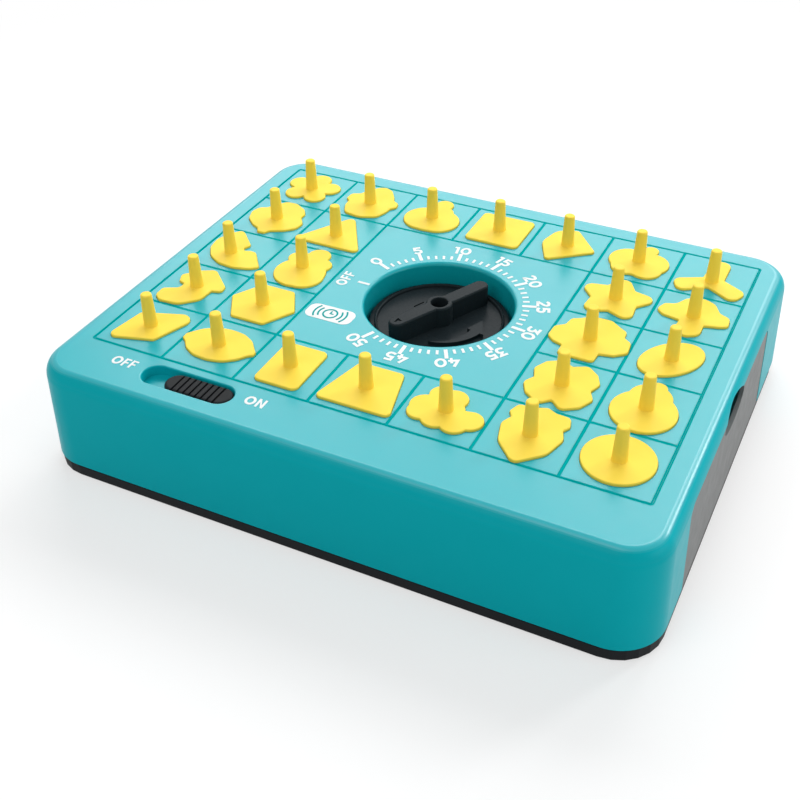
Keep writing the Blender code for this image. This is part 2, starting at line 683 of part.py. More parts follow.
def make_housing(material):
    insets = [0, DRAFT]
    heights = [HOUSING_BOTTOM, BODY_TOP - TOP_FILLET]
    fillet = TOP_FILLET - DRAFT
    for s in range(1, FILLET_STEPS + 1):
        angle = math.pi / 2 * s / FILLET_STEPS
        insets.append(DRAFT + fillet * (1 - math.cos(angle)))
        heights.append(BODY_TOP - TOP_FILLET + TOP_FILLET * math.sin(angle))
    housing = place("housing", stack([body_loop(inset) for inset in insets], heights), material)
    cut(housing, slab(body_loop(HOUSING_WALL), HOUSING_BOTTOM - OVERRUN, BODY_TOP - TOP_THICKNESS))
    bosses = [cylinder(BOSS_RADIUS, HOUSING_BOTTOM, BODY_TOP - TOP_FILLET, spot) for spot in housing_bosses()]
    add(housing, merged(*bosses))
    pilot_top = HOUSING_BOTTOM + PILOT_DEPTH
    pilots = [cylinder(PILOT_RADIUS, HOUSING_BOTTOM - OVERRUN, pilot_top, spot) for spot in housing_bosses()]
    cut(housing, merged(*pilots))
    cut(housing, slab(tray_outline(GAP), BODY_TOP - TOP_THICKNESS - OVERRUN, BODY_TOP + OVERRUN))
    slot_floor_top = BODY_TOP - SLOT_DEPTH
    slot_centre = (SLOT_X, SLOT_Y)
    margin = 2 * SLOT_BOSS_MARGIN
    boss = stadium(SLOT_LENGTH + margin, SLOT_WIDTH + margin, slot_centre)
    add(housing, slab(boss, slot_floor_top - SLOT_FLOOR, BODY_TOP - TOP_THICKNESS / 2))
    cut(housing, slab(stadium(SLOT_LENGTH, SLOT_WIDTH, slot_centre), slot_floor_top, BODY_TOP + OVERRUN))
    slit_width = 2 * (STEM_RADIUS + GAP)
    slit = stadium(slit_width + SWITCH_TRAVEL, slit_width, slot_centre)
    cut(housing, slab(slit, slot_floor_top - SLOT_FLOOR - OVERRUN, slot_floor_top + OVERRUN))
    cut(housing, bar_along_x(drawer_front_outline(GAP), WIDTH / 2 - TOP_FILLET, WIDTH / 2 + OVERRUN))
    cut(housing, notch_mesh(WIDTH / 2 - HOUSING_WALL - OVERRUN))
    return housing


def make_base_plate(material):
    base = place("base_plate", slab(body_loop(BASE_INSET), 0, BASE_TOP), material)
    recess_x = WIDTH / 2 - BASE_RIM
    recess_y = DEPTH / 2 - BASE_RIM
    recess = rectangle((-recess_x, -recess_y), (recess_x, recess_y), BASE_RECESS_RADIUS)
    cut(base, slab(recess, BASE_FLOOR, BASE_TOP + OVERRUN))
    foot = BASE_FLOOR - SEAM
    posts = [cylinder(SPRING_POST_RADIUS, foot, TRAY_PLATE_BOTTOM - GAP, spot) for spot in spring_places()]
    seat_top = LOWER_PLATE_BOTTOM - GAP
    seats = [cylinder(MOVEMENT_BOSS_RADIUS, foot, seat_top, spot) for spot in movement_corners()]
    pivot_rings = [circle(radius, STOP_AXIS) for radius in (STOP_SHOULDER_RADIUS, STOP_PIN_RADIUS)]
    shoulder = STOP_BOTTOM - GAP
    pivot = stack(
        [pivot_rings[0], pivot_rings[0], pivot_rings[1], pivot_rings[1]],
        [foot, shoulder, shoulder, STOP_TOP + GAP],
    )
    add(base, merged(*posts, *seats, pivot, *drawer_guides(foot)))
    bore_bottom = STOP_TOP + GAP - STOP_SCREW_LENGTH
    cut(base, cylinder(LATCH_SCREW_BORE_RADIUS, bore_bottom, STOP_TOP + OVERRUN, STOP_AXIS, SMALL_SIDES))
    spots = housing_bosses() + movement_fixings()
    holes = [cylinder(SCREW_HOLE_RADIUS, -OVERRUN, LOWER_PLATE_BOTTOM, spot, SMALL_SIDES) for spot in spots]
    cut(base, merged(*holes))
    sinks = [cylinder(SCREW_SINK_RADIUS, -OVERRUN, SCREW_SINK_DEPTH, spot) for spot in spots]
    cut(base, merged(*sinks))
    return base


def drawer_guides(foot):
    """Two side walls and two rails that carry the drawer."""
    half = DRAWER_BOX_WIDTH / 2
    right = WIDTH / 2 - BASE_RIM - OVERRUN
    pieces = []
    for side in (-1, 1):
        near = DRAWER_Y + side * (half + GAP)
        far = near + side * GUIDE_THICKNESS
        pieces.append(block((GUIDE_LEFT, min(near, far), foot), (right, max(near, far), GUIDE_TOP)))
        outer = DRAWER_Y + side * (half - RAIL_INSET)
        inner = outer - side * RAIL_WIDTH
        pieces.append(block((GUIDE_LEFT, min(outer, inner), foot), (right, max(outer, inner), BASE_TOP)))
    return pieces


def make_base_screws(material):
    """Screws from below: four into the housing and two into the timer movement."""
    head_bottom = SCREW_SINK_DEPTH - GAP - SCREW_HEAD_HEIGHT
    shank_end = head_bottom + BASE_SCREW_LENGTH
    for number, spot in enumerate(housing_bosses() + movement_fixings(), 1):
        mesh = screw(spot, head_bottom, SCREW_HEAD_HEIGHT, SCREW_HEAD_RADIUS, SCREW_RADIUS, shank_end)
        place(f"base_screw_{number}", mesh, material)


# Tray and its springs


def make_tray(material):
    tray = place("tray", slab(tray_outline(), SKIRT_BOTTOM, BODY_TOP), material)
    cut(tray, slab(tray_outline(-SKIRT_WALL), SKIRT_BOTTOM - OVERRUN, TRAY_PLATE_BOTTOM))
    well_outer = WELL_RADIUS + WELL_WALL
    add(tray, cylinder(well_outer, WELL_BOTTOM, TRAY_PLATE_BOTTOM + SEAM, AXIS, WELL_SIDES))
    add(tray, tray_leg())
    add(tray, merged(*tray_tabs()))
    cut(tray, cylinder(WELL_RADIUS, WELL_BOTTOM - OVERRUN, BODY_TOP + OVERRUN, AXIS, WELL_SIDES))
    pockets = []
    for name, row, column in PIECE_CELLS:
        centre = cell_centre(row, column)
        outline = [centre + point for point in piece_outline(name, GAP)]
        pockets.append(slab(outline, POCKET_FLOOR, BODY_TOP + OVERRUN))
    cut(tray, merged(*pockets))
    return tray


def tray_leg():
    """The leg that the latch holds: its foot has a slanted ledge under the lever's hook."""
    face = GRID_Y + HOOK_EDGE_Y - GAP
    ledge_top = LATCH_BOTTOM + HOOK_RISE - GAP * math.sqrt(2) + GAP
    ledge_low = ledge_top - HOOK_BITE - GAP
    toe = face + HOOK_BITE + GAP
    bottom = ledge_low - LEG_FOOT_HEIGHT
    profile = [
        Vector((face - LEG_THICKNESS, bottom - HOOK_BITE)),
        Vector((face, bottom - HOOK_BITE)),
        Vector((toe, bottom)),
        Vector((toe, ledge_low)),
        Vector((face, ledge_top)),
        Vector((face, TRAY_PLATE_BOTTOM + SEAM)),
        Vector((face - LEG_THICKNESS, TRAY_PLATE_BOTTOM + SEAM)),
    ]
    return bar_along_x(profile, LEG_LEFT_X, LEG_LEFT_X + LEG_WIDTH)


def tray_tabs():
    """Tabs under the housing's top that stop the tray when it has risen."""
    half = Vector((TRAY_WIDTH / 2, TRAY_DEPTH / 2))
    long = TAB_LENGTH / 2
    tabs = []
    for share in TAB_WAY_SHARES:
        for side in (-1, 1):
            near, far = sorted((side * (half.x - SEAM), side * (half.x + TAB_REACH)))
            y = GRID_Y + share * half.y
            tabs.append(block((near, y - long, SKIRT_BOTTOM), (far, y + long, SKIRT_BOTTOM + TAB_HEIGHT)))
            near, far = sorted((side * (half.y - SEAM), side * (half.y + TAB_REACH)))
            x = share * half.x
            low = (x - long, GRID_Y + near, SKIRT_BOTTOM)
            tabs.append(block(low, (x + long, GRID_Y + far, SKIRT_BOTTOM + TAB_HEIGHT)))
    return tabs


def spring_points(centre):
    bottom = BASE_FLOOR + GAP + SPRING_WIRE_RADIUS
    top = TRAY_PLATE_BOTTOM - GAP - SPRING_WIRE_RADIUS
    count = SPRING_TURNS * SPRING_POINTS_PER_TURN
    points = []
    for i in range(count + 1):
        flat = polar(SPRING_RADIUS, 2 * math.pi * i / SPRING_POINTS_PER_TURN, centre)
        points.append(Vector((flat.x, flat.y, bottom + (top - bottom) * i / count)))
    return points


def make_spring(name, centre, material):
    points = spring_points(centre)
    curve = bpy.data.curves.new(name, "CURVE")
    curve.dimensions = "3D"
    curve.bevel_depth = SPRING_WIRE_RADIUS
    curve.bevel_resolution = 1
    curve.use_fill_caps = True
    line = curve.splines.new("POLY")
    line.points.add(len(points) - 1)
    for spot, point in zip(points, line.points):
        point.co = (*(spot - Vector((*centre, 0))), 1)
    item = bpy.data.objects.new(name, curve)
    item.location = (*centre, 0)
    curve.materials.append(material)
    bpy.context.collection.objects.link(item)
    turn_rise = points[SPRING_POINTS_PER_TURN].z - points[0].z
    print(f"{name}: least gap to itself {turn_rise - 2 * SPRING_WIRE_RADIUS:.5f} m")
    return item


# Shape pieces


PIECE_CELLS = (
    ("flower", 0, 0), ("acorn", 0, 1), ("pear", 0, 2), ("square", 0, 3), ("sector", 0, 4), ("apple", 0, 5),
    ("propeller", 0, 6), ("turnip", 1, 0), ("triangle", 1, 1), ("star", 1, 5), ("club", 1, 6),
    ("crescent", 2, 0), ("gourd", 2, 1), ("tree", 2, 5), ("oval", 2, 6), ("mushroom", 3, 0),
    ("hexagon", 3, 1), ("clover", 3, 5), ("snowman", 3, 6), ("rhomboid", 4, 0), ("lemon", 4, 1),
    ("rectangle", 4, 2), ("trapezoid", 4, 3), ("cloud", 4, 4), ("strawberry", 4, 5), ("circle", 4, 6),
)
CORNER_SHAPES = {
    "square": SQUARE_SHARES, "acorn": ACORN_SHARES, "sector": SECTOR_SHARES, "propeller": PROPELLER_SHARES,
    "turnip": TURNIP_SHARES, "triangle": TRIANGLE_SHARES, "crescent": CRESCENT_SHARES, "tree": TREE_SHARES,
    "mushroom": MUSHROOM_SHARES, "clover": CLOVER_SHARES, "rhomboid": RHOMBOID_SHARES, "lemon": LEMON_SHARES,
    "rectangle": RECTANGLE_SHARES, "trapezoid": TRAPEZOID_SHARES, "strawberry": STRAWBERRY_SHARES,
}
LOBE_SHAPES = {
    "pear": PEAR_SHARES, "apple": APPLE_SHARES, "club": CLUB_SHARES, "gourd": GOURD_SHARES,
    "snowman": SNOWMAN_SHARES, "cloud": CLOUD_SHARES, "circle": CIRCLE_SHARES,
}


def flower_lobes():
    ring = circle(FLOWER_RING_SHARE, sides=FLOWER_PETALS, turn=math.pi / 2)
    petals = [(spot.x, spot.y + FLOWER_RISE_SHARE, FLOWER_PETAL_SHARE) for spot in ring]
    return petals + [(0, FLOWER_RISE_SHARE, FLOWER_CORE_SHARE)]


def star_corners():
    kinds = ((STAR_TIP_SHARE, STAR_TIP_ROUND_SHARE), (STAR_NOTCH_SHARE, STAR_NOTCH_ROUND_SHARE))
    corners = []
    for k in range(2 * STAR_POINTS):
        reach, rounding = kinds[k % 2]
        spot = polar(reach, math.pi / 2 + math.pi * k / STAR_POINTS)
        corners.append((spot.x, spot.y, rounding))
    return corners


def hexagon_corners():
    spots = circle(HEXAGON_SHARE, sides=6)
    return [(spot.x, spot.y, HEXAGON_ROUND_SHARE) for spot in spots]


def oval_outline():
    turn = Matrix.Rotation(OVAL_TILT, 2)
    unit = circle(1, sides=LOBE_POINTS)
    return [turn @ Vector((p.x * OVAL_LONG_SHARE, p.y * OVAL_SHORT_SHARE)) * PIECE_UNIT for p in unit]


def piece_outline(name, grow=0.0):
    """A piece's outline from its cell's middle, grown by a clearance for its pocket."""
    if name == "flower":
        return lobes(flower_lobes(), PIECE_UNIT, grow, 6 * FLOWER_PETALS)
    if name in LOBE_SHAPES:
        return lobes(LOBE_SHAPES[name], PIECE_UNIT, grow)
    if name == "oval":
        return grown(oval_outline(), grow)
    corners = {"star": star_corners, "hexagon": hexagon_corners}
    shares = corners[name]() if name in corners else CORNER_SHAPES[name]
    outline = [point * PIECE_UNIT for point in rounded(shares)]
    return grown(outline, grow)


def peg_place(name, row, column):
    return cell_centre(row, column) + Vector(PEG_PLACE_SHARES.get(name, (0, 0))) * PIECE_UNIT


def piece_mesh(outline, centre, peg_centre):
    """A plate with a tapered, round-topped peg standing on it."""
    mesh = bmesh.new()
    low = [mesh.verts.new((*(centre + point), PIECE_BOTTOM)) for point in outline]
    high = [mesh.verts.new((*(centre + point), PIECE_TOP)) for point in outline]
    mesh.faces.new(reversed(low))
    for i in range(len(outline)):
        mesh.faces.new((low[i - 1], low[i], high[i], high[i - 1]))
    peg = [(PEG_BASE_RADIUS, PIECE_TOP), (PEG_TOP_RADIUS, OVERALL_HEIGHT - PEG_ROUNDING)]
    peg.append((PEG_TOP_RADIUS - PEG_ROUNDING, OVERALL_HEIGHT))
    rings = [
        [mesh.verts.new((*point, height)) for point in circle(radius, peg_centre, SMALL_SIDES)]
        for radius, height in peg
    ]
    for below, above in zip(rings, rings[1:]):
        for i in range(SMALL_SIDES):
            mesh.faces.new((below[i - 1], below[i], above[i], above[i - 1]))
    mesh.faces.new(rings[-1])
    border = [edge for edge in mesh.edges if len(edge.link_faces) == 1]
    bmesh.ops.triangle_fill(mesh, use_beauty=True, edges=border, normal=(0, 0, 1))
    return mesh


def make_piece(name, row, column, material):
    centre = cell_centre(row, column)
    mesh = piece_mesh(piece_outline(name), centre, peg_place(name, row, column))
    return place(f"piece_{name}", mesh, material, (*centre, PIECE_BOTTOM))


# Timer movement


def plate_outline():
    low = (-PLATE_HALF, GRID_Y - PLATE_HALF)
    return rectangle(low, (PLATE_HALF, GRID_Y + PLATE_HALF), PLATE_CORNER)


def bores(radius, low, high, spots):
    return merged(*[cylinder(radius, low, high, spot, SMALL_SIDES) for spot in spots])


def arbor_holes(centre_radius, low, high):
    radius = ARBOR_RADIUS + ARBOR_CLEARANCE
    holes = [cylinder(radius, low, high, spot) for spot in (SECOND_AXIS, ESCAPE_AXIS, PALLET_AXIS)]
    return merged(cylinder(centre_radius, low, high, AXIS), *holes)


def make_bottom_plate(material):
    """The movement's lower plate, with its four pillars riveted in."""
    plate = place("timer_bottom_plate", slab(plate_outline(), LOWER_PLATE_BOTTOM, LOWER_PLATE_TOP), material)
    pillar_top = UPPER_PLATE_BOTTOM - GAP
    foot = LOWER_PLATE_TOP - SEAM
    pillars = [cylinder(PILLAR_RADIUS, foot, pillar_top, spot) for spot in movement_corners()]
    add(plate, merged(*pillars))
    low = LOWER_PLATE_BOTTOM - OVERRUN
    cut(plate, arbor_holes(SHAFT_PIVOT_RADIUS + GAP, low, LOWER_PLATE_TOP + OVERRUN))
    bore_bottom = pillar_top - TIMER_SCREW_LENGTH
    cut(plate, bores(PILLAR_BORE_RADIUS, bore_bottom, pillar_top + OVERRUN, movement_corners()))
    screw_end = SCREW_SINK_DEPTH - GAP - SCREW_HEAD_HEIGHT + BASE_SCREW_LENGTH
    return cut(plate, bores(PILLAR_BORE_RADIUS, low, screw_end + GAP, movement_fixings()))


def make_top_plate(material):
    """The movement's upper plate, with the pin that the latch lever turns on."""
    plate = place("timer_top_plate", slab(plate_outline(), UPPER_PLATE_BOTTOM, UPPER_PLATE_TOP), material)
    pin_top = LATCH_TOP + GAP
    add(plate, cylinder(LATCH_PIN_RADIUS, UPPER_PLATE_TOP - SEAM, pin_top, LATCH_AXIS))
    bore_bottom = pin_top - LATCH_SCREW_LENGTH
    cut(plate, bores(LATCH_SCREW_BORE_RADIUS, bore_bottom, pin_top + OVERRUN, [LATCH_AXIS]))
    low = UPPER_PLATE_BOTTOM - OVERRUN
    high = UPPER_PLATE_TOP + OVERRUN
    cut(plate, arbor_holes(SHAFT_RADIUS + GAP, low, high))
    return cut(plate, bores(SCREW_HOLE_RADIUS, low, high, movement_corners()))


def make_timer_screws(material):
    head_bottom = UPPER_PLATE_TOP + GAP
    shank_end = head_bottom - TIMER_SCREW_LENGTH
    for number, spot in enumerate(movement_corners(), 1):
        mesh = screw(spot, head_bottom, SCREW_HEAD_HEIGHT, SCREW_HEAD_RADIUS, SCREW_RADIUS, shank_end)
        place(f"timer_screw_{number}", mesh, material)


def make_shaft(material):
    body = circle(SHAFT_RADIUS, AXIS)
    pivot = circle(SHAFT_PIVOT_RADIUS, AXIS)
    shoulder = LOWER_PLATE_TOP + GAP
    mesh = stack([pivot, pivot, body, body], [LOWER_PLATE_BOTTOM + GAP, shoulder, shoulder, SHAFT_TOP])
    shaft = place("timer_shaft", mesh, material, (*AXIS, 0))
    return cut(shaft, bores(PILLAR_BORE_RADIUS, SHAFT_TOP - SHAFT_BORE_DEPTH, SHAFT_TOP + OVERRUN, [AXIS]))


def make_main_gear(material):
    outline = gear_outline(MAIN_TEETH, MAIN_MODULE, SECOND_DIRECTION, AXIS)
    mesh = slab(outline, MAIN_BOTTOM, MAIN_BOTTOM + MAIN_THICKNESS)
    gear = place("main_gear", mesh, material, (*AXIS, 0))
    low = MAIN_BOTTOM - OVERRUN
    return cut(gear, cylinder(SHAFT_RADIUS + GAP, low, MAIN_BOTTOM + MAIN_THICKNESS + OVERRUN, AXIS))


def arbor(centre):
    low = LOWER_PLATE_BOTTOM + GAP
    return cylinder(ARBOR_RADIUS, low, UPPER_PLATE_TOP - GAP, centre, SMALL_SIDES)


def make_second_wheel(material):
    wheel = slab(
        gear_outline(SECOND_TEETH, FINE_MODULE, ESCAPE_DIRECTION, SECOND_AXIS),
        SECOND_BOTTOM, SECOND_BOTTOM + SECOND_THICKNESS,
    )
    item = place("second_wheel", wheel, material, (*SECOND_AXIS, 0))
    turn = SECOND_DIRECTION + math.pi + math.pi / SECOND_PINION_TEETH
    pinion = gear_outline(SECOND_PINION_TEETH, MAIN_MODULE, turn, SECOND_AXIS)
    low = MAIN_BOTTOM - PINION_OVERHANG
    add(item, slab(pinion, low, MAIN_BOTTOM + MAIN_THICKNESS + PINION_OVERHANG))
    return add(item, arbor(SECOND_AXIS))


def escape_outline():
    """Saw teeth."""
    points = []
    for k in range(ESCAPE_TEETH):
        start = 2 * math.pi * k / ESCAPE_TEETH
        points.append(polar(ESCAPE_ROOT_RADIUS, start, ESCAPE_AXIS))
        points.append(polar(ESCAPE_TIP_RADIUS, start + math.pi / ESCAPE_TEETH / 2, ESCAPE_AXIS))
    return points


def make_escape_wheel(material):
    wheel = slab(escape_outline(), ESCAPE_BOTTOM, ESCAPE_BOTTOM + ESCAPE_THICKNESS)
    item = place("escape_wheel", wheel, material, (*ESCAPE_AXIS, 0))
    turn = ESCAPE_DIRECTION + math.pi + math.pi / ESCAPE_PINION_TEETH
    pinion = gear_outline(ESCAPE_PINION_TEETH, FINE_MODULE, turn, ESCAPE_AXIS)
    low = SECOND_BOTTOM - PINION_OVERHANG
    add(item, slab(pinion, low, SECOND_BOTTOM + SECOND_THICKNESS + PINION_OVERHANG))
    return add(item, arbor(ESCAPE_AXIS))


def make_pallet_lever(material):
    outline = [PALLET_AXIS + Vector(share) * PALLET_DISTANCE for share in PALLET_SHARES]
    top = ESCAPE_BOTTOM + ESCAPE_THICKNESS
    item = place("pallet_lever", slab(outline, ESCAPE_BOTTOM, top), material, (*PALLET_AXIS, 0))
    add(item, cylinder(BALANCE_RADIUS, ESCAPE_BOTTOM, top, BALANCE_CENTRE, ROUND_SIDES))
    return add(item, arbor(PALLET_AXIS))


def make_mainspring(material):
    """A flat strip wound in a spiral."""
    steps = MAINSPRING_TURNS * ROUND_SIDES
    inner = []
    outer = []
    for i in range(steps + 1):
        radius = MAINSPRING_INNER + (MAINSPRING_OUTER - MAINSPRING_INNER) * i / steps
        angle = 2 * math.pi * i / ROUND_SIDES
        inner.append(polar(radius, angle, AXIS))
        outer.append(polar(radius + MAINSPRING_STRIP, angle, AXIS))
    strip = slab(outer + inner[::-1], MAINSPRING_BOTTOM, MAINSPRING_TOP)
    return place("mainspring", strip, material, (*AXIS, 0))


def make_release_cam(material):
    """A disc with one lobe that meets the latch lever's nose when the time has run out."""
    top = CAM_BOTTOM + CAM_THICKNESS
    disc = cylinder(CAM_RADIUS, CAM_BOTTOM, top, AXIS, KNOB_SIDES // 2)
    item = place("release_cam", disc, material, (*AXIS, 0))
    turn = NOSE_DIRECTION - ZERO_TURN
    towards = Matrix.Rotation(turn, 2)
    points = [(SHAFT_RADIUS, -CAM_LOBE_WIDTH / 2), (CAM_LOBE_RADIUS, -CAM_LOBE_WIDTH / 4)]
    points += [(CAM_LOBE_RADIUS, CAM_LOBE_WIDTH / 4), (SHAFT_RADIUS, CAM_LOBE_WIDTH / 2)]
    lobe = [AXIS + towards @ Vector(point) for point in points]
    add(item, slab(lobe, CAM_BOTTOM, top))
    return cut(item, cylinder(SHAFT_RADIUS + GAP, CAM_BOTTOM - OVERRUN, top + OVERRUN, AXIS))


def make_knob(material):
    disc_bottom = KNOB_FACE - KNOB_WEB
    disc = circle(KNOB_RADIUS, AXIS, KNOB_SIDES)
    knob = place("timer_knob", slab(disc, KNOB_SKIRT_BOTTOM, KNOB_FACE), material, (*AXIS, 0))
    inner = circle(KNOB_RADIUS - KNOB_SKIRT_WALL, AXIS, KNOB_SIDES)
    cut(knob, slab(inner, KNOB_SKIRT_BOTTOM - OVERRUN, disc_bottom))
    add(knob, cylinder(KNOB_HUB_RADIUS, KNOB_HUB_BOTTOM, disc_bottom + SEAM, AXIS))
    add(knob, slab(stadium(GRIP_LENGTH, GRIP_WIDTH, AXIS, POINTER_DIRECTION), KNOB_FACE - SEAM, BODY_TOP))
    add(knob, cylinder(GRIP_HUB_RADIUS, KNOB_FACE - SEAM, BODY_TOP, AXIS))
    seat = KNOB_FACE - KNOB_SEAT
    cut(knob, cylinder(SHAFT_RADIUS + GAP, KNOB_HUB_BOTTOM - OVERRUN, seat, AXIS))
    cut(knob, cylinder(PILLAR_BORE_RADIUS, seat - SEAM, KNOB_FACE + SEAM, AXIS, SMALL_SIDES))
    cut(knob, cylinder(GRIP_HOLE_RADIUS, KNOB_FACE, BODY_TOP + OVERRUN, AXIS))
    return knob


def make_knob_screw(material):
    head_bottom = KNOB_FACE + GAP
    shank_end = head_bottom - KNOB_SCREW_LENGTH
    mesh = screw(AXIS, head_bottom, SCREW_HEAD_HEIGHT, KNOB_SCREW_HEAD_RADIUS, SCREW_RADIUS, shank_end)
    return place("knob_screw", mesh, material, (*AXIS, 0))


# Latch, switch and stop lever


def make_latch_lever(material):
    outline = [AXIS + point * LATCH_UNIT for point in rounded(LATCH_SHARES)]
    lever = place("latch_lever", slab(outline, LATCH_BOTTOM, LATCH_TOP), material, (*LATCH_AXIS, 0))
    hole = cylinder(LATCH_PIN_RADIUS + GAP, LATCH_BOTTOM - OVERRUN, LATCH_TOP + OVERRUN, LATCH_AXIS)
    cut(lever, hole)
    edge = GRID_Y + HOOK_EDGE_Y
    slope_top = LATCH_BOTTOM + HOOK_RISE
    wedge = [
        Vector((edge - OVERRUN, slope_top + OVERRUN)),
        Vector((edge - OVERRUN, LATCH_BOTTOM - OVERRUN)),
        Vector((edge + HOOK_RISE + OVERRUN, LATCH_BOTTOM - OVERRUN)),
    ]
    left = LEG_LEFT_X - LEG_WIDTH
    return cut(lever, bar_along_x(wedge, left, LEG_LEFT_X + 2 * LEG_WIDTH))


def make_latch_screw(material):
    head_bottom = LATCH_SCREW_TOP - SCREW_HEAD_HEIGHT
    shank_end = head_bottom - LATCH_SCREW_LENGTH
    mesh = screw(
        LATCH_AXIS, head_bottom, SCREW_HEAD_HEIGHT, LATCH_SCREW_HEAD_RADIUS, LATCH_SCREW_SHANK_RADIUS,
        shank_end,
    )
    return place("latch_screw", mesh, material)


def make_switch_button(material):
    centre = (BUTTON_X, SLOT_Y)
    bottom = BODY_TOP - SLOT_DEPTH + GAP
    cap = slab(stadium(BUTTON_LENGTH, BUTTON_WIDTH, centre), bottom, BUTTON_TOP)
    button = place("switch_button", cap, material, (*centre, bottom))
    return add(button, cylinder(STEM_RADIUS, STEM_BOTTOM, bottom + SEAM, centre))


def make_stop_lever(material):
    """A lever whose fork follows the switch's stem and whose tip brakes the pallet lever's weight."""
    tip = BALANCE_CENTRE + STOP_REST
    slot = STEM_RADIUS + STOP_FORK_CLEARANCE
    side = slot + STOP_FORK_ARM
    front = SLOT_Y - STOP_FORK_REACH
    waist = STOP_WIDTH / 2
    bend = (tip - STOP_AXIS).normalized()
    across = Vector((bend.y, -bend.x))
    neck = SLOT_Y + STOP_FORK_REACH
    x, y = STOP_AXIS
    right = STOP_AXIS + across * waist
    left = STOP_AXIS - across * waist
    corners = [
        (x - side, front), (x - slot, front), (x - slot, neck), (x + slot, neck), (x + slot, front),
        (x + side, front), (x + side, neck + side), (x + waist, neck + 2 * side), tuple(right),
        tuple(tip + across * STOP_TIP_RADIUS), tuple(tip - across * STOP_TIP_RADIUS), tuple(left),
        (x - waist, y), (x - waist, neck + 2 * side), (x - side, neck + side),
    ]
    outline = [Vector(corner) for corner in corners]
    lever = place("stop_lever", slab(outline, STOP_BOTTOM, STOP_TOP), material, (*STOP_AXIS, 0))
    add(lever, cylinder(STOP_PIVOT_ROUND, STOP_BOTTOM, STOP_TOP, STOP_AXIS))
    low = STOP_BOTTOM - OVERRUN
    return cut(lever, cylinder(STOP_PIN_RADIUS + GAP, low, STOP_TOP + OVERRUN, STOP_AXIS))


def make_stop_lever_screw(material):
    head_bottom = STOP_TOP + 2 * GAP
    shank_end = head_bottom - STOP_SCREW_LENGTH
    mesh = screw(
        STOP_AXIS, head_bottom, SCREW_HEAD_HEIGHT, LATCH_SCREW_HEAD_RADIUS, LATCH_SCREW_SHANK_RADIUS,
        shank_end,
    )
    return place("stop_lever_screw", mesh, material)


# Drawer


def drawer_front_outline(margin=0.0):
    """The drawer's front, as y and z: square at the bottom and rounded at its top corners."""
    half = DRAWER_FRONT_WIDTH / 2 + margin
    low = HOUSING_BOTTOM - (OVERRUN if margin else 0)
    high = DRAWER_FRONT_TOP + margin
    radius = DRAWER_FRONT_CORNER + margin
    return rounded([
        (DRAWER_Y - half, low, 0), (DRAWER_Y + half, low, 0),
        (DRAWER_Y + half, high, radius), (DRAWER_Y - half, high, radius),
    ])


def notch_mesh(left):
    """The finger notch, an ellipse across the drawer's top edge."""
    centre_z = DRAWER_FRONT_TOP - NOTCH_RISE
    points = [
        Vector((DRAWER_Y + p.x * NOTCH_LENGTH / 2, centre_z + p.y * NOTCH_HEIGHT / 2))
        for p in circle(1, sides=2 * SMALL_SIDES)
    ]
    return bar_along_x(points, left, WIDTH / 2 + OVERRUN)


def make_drawer(material):
    half = DRAWER_BOX_WIDTH / 2
    front_left = DRAWER_FACE - DRAWER_FRONT_THICKNESS
    box = block(
        (DRAWER_BOX_LEFT, DRAWER_Y - half, HOUSING_BOTTOM),
        (front_left + SEAM, DRAWER_Y + half, DRAWER_BOX_TOP),
    )
    drawer = place("storage_drawer", box, material)
    wall = DRAWER_WALL
    inner = block(
        (DRAWER_BOX_LEFT + wall, DRAWER_Y - half + wall, HOUSING_BOTTOM + wall),
        (front_left - wall, DRAWER_Y + half - wall, DRAWER_BOX_TOP + OVERRUN),
    )
    cut(drawer, inner)
    add(drawer, bar_along_x(drawer_front_outline(), front_left, DRAWER_FACE + OVERRUN))
    heights = (HOUSING_BOTTOM - OVERRUN, BODY_TOP)
    beyond = [rectangle((DRAWER_FACE - wall_lean(height), -DEPTH), (WIDTH, DEPTH)) for height in heights]
    cut(drawer, stack(beyond, heights))
    return cut(drawer, notch_mesh(front_left - OVERRUN))


def build():
    clear_scene()
    teal = paint("teal_plastic", (0.20, 0.61, 0.65), 0.42)
    black = paint("black_plastic", (0.035, 0.032, 0.035), 0.45)
    yellow = paint("yellow_plastic", (1.0, 0.88, 0.16), 0.40)
    grey = paint("grey_plastic", (0.23, 0.25, 0.25), 0.50)
    white = paint("white_plastic", (0.80, 0.80, 0.77), 0.45)
    steel = paint("steel", (0.55, 0.56, 0.58), 0.35, 1.0)
    brass = paint("brass", (0.72, 0.53, 0.22), 0.35, 1.0)
    make_housing(teal)
    make_base_plate(black)
    make_base_screws(steel)
    make_tray(teal)
    for number, spot in enumerate(spring_places(), 1):
        make_spring(f"tray_spring_{number}", spot, steel)
    for name, row, column in PIECE_CELLS:
        make_piece(name, row, column, yellow)
    make_bottom_plate(steel)
    make_top_plate(steel)
    make_timer_screws(steel)
    make_shaft(steel)
    make_main_gear(brass)
    make_second_wheel(brass)
    make_escape_wheel(brass)
    make_pallet_lever(steel)
    make_mainspring(steel)
    make_release_cam(white)
    make_knob(black)
    make_knob_screw(steel)
    make_latch_lever(white)
    make_latch_screw(steel)
    make_switch_button(black)
    make_stop_lever(white)
    make_stop_lever_screw(steel)
    make_drawer(grey)


build()
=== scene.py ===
"""The pop-up shape timer game with its finished surfaces, markings, floor, light and camera.

Metres, +Z up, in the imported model's frame: the switch is at the front (-Y) and the drawer at the right (+X).
"""

from math import atan2, ceil, cos, pi, radians, sin, sqrt, tan

import bmesh
import bpy
from mathutils import Matrix, Vector


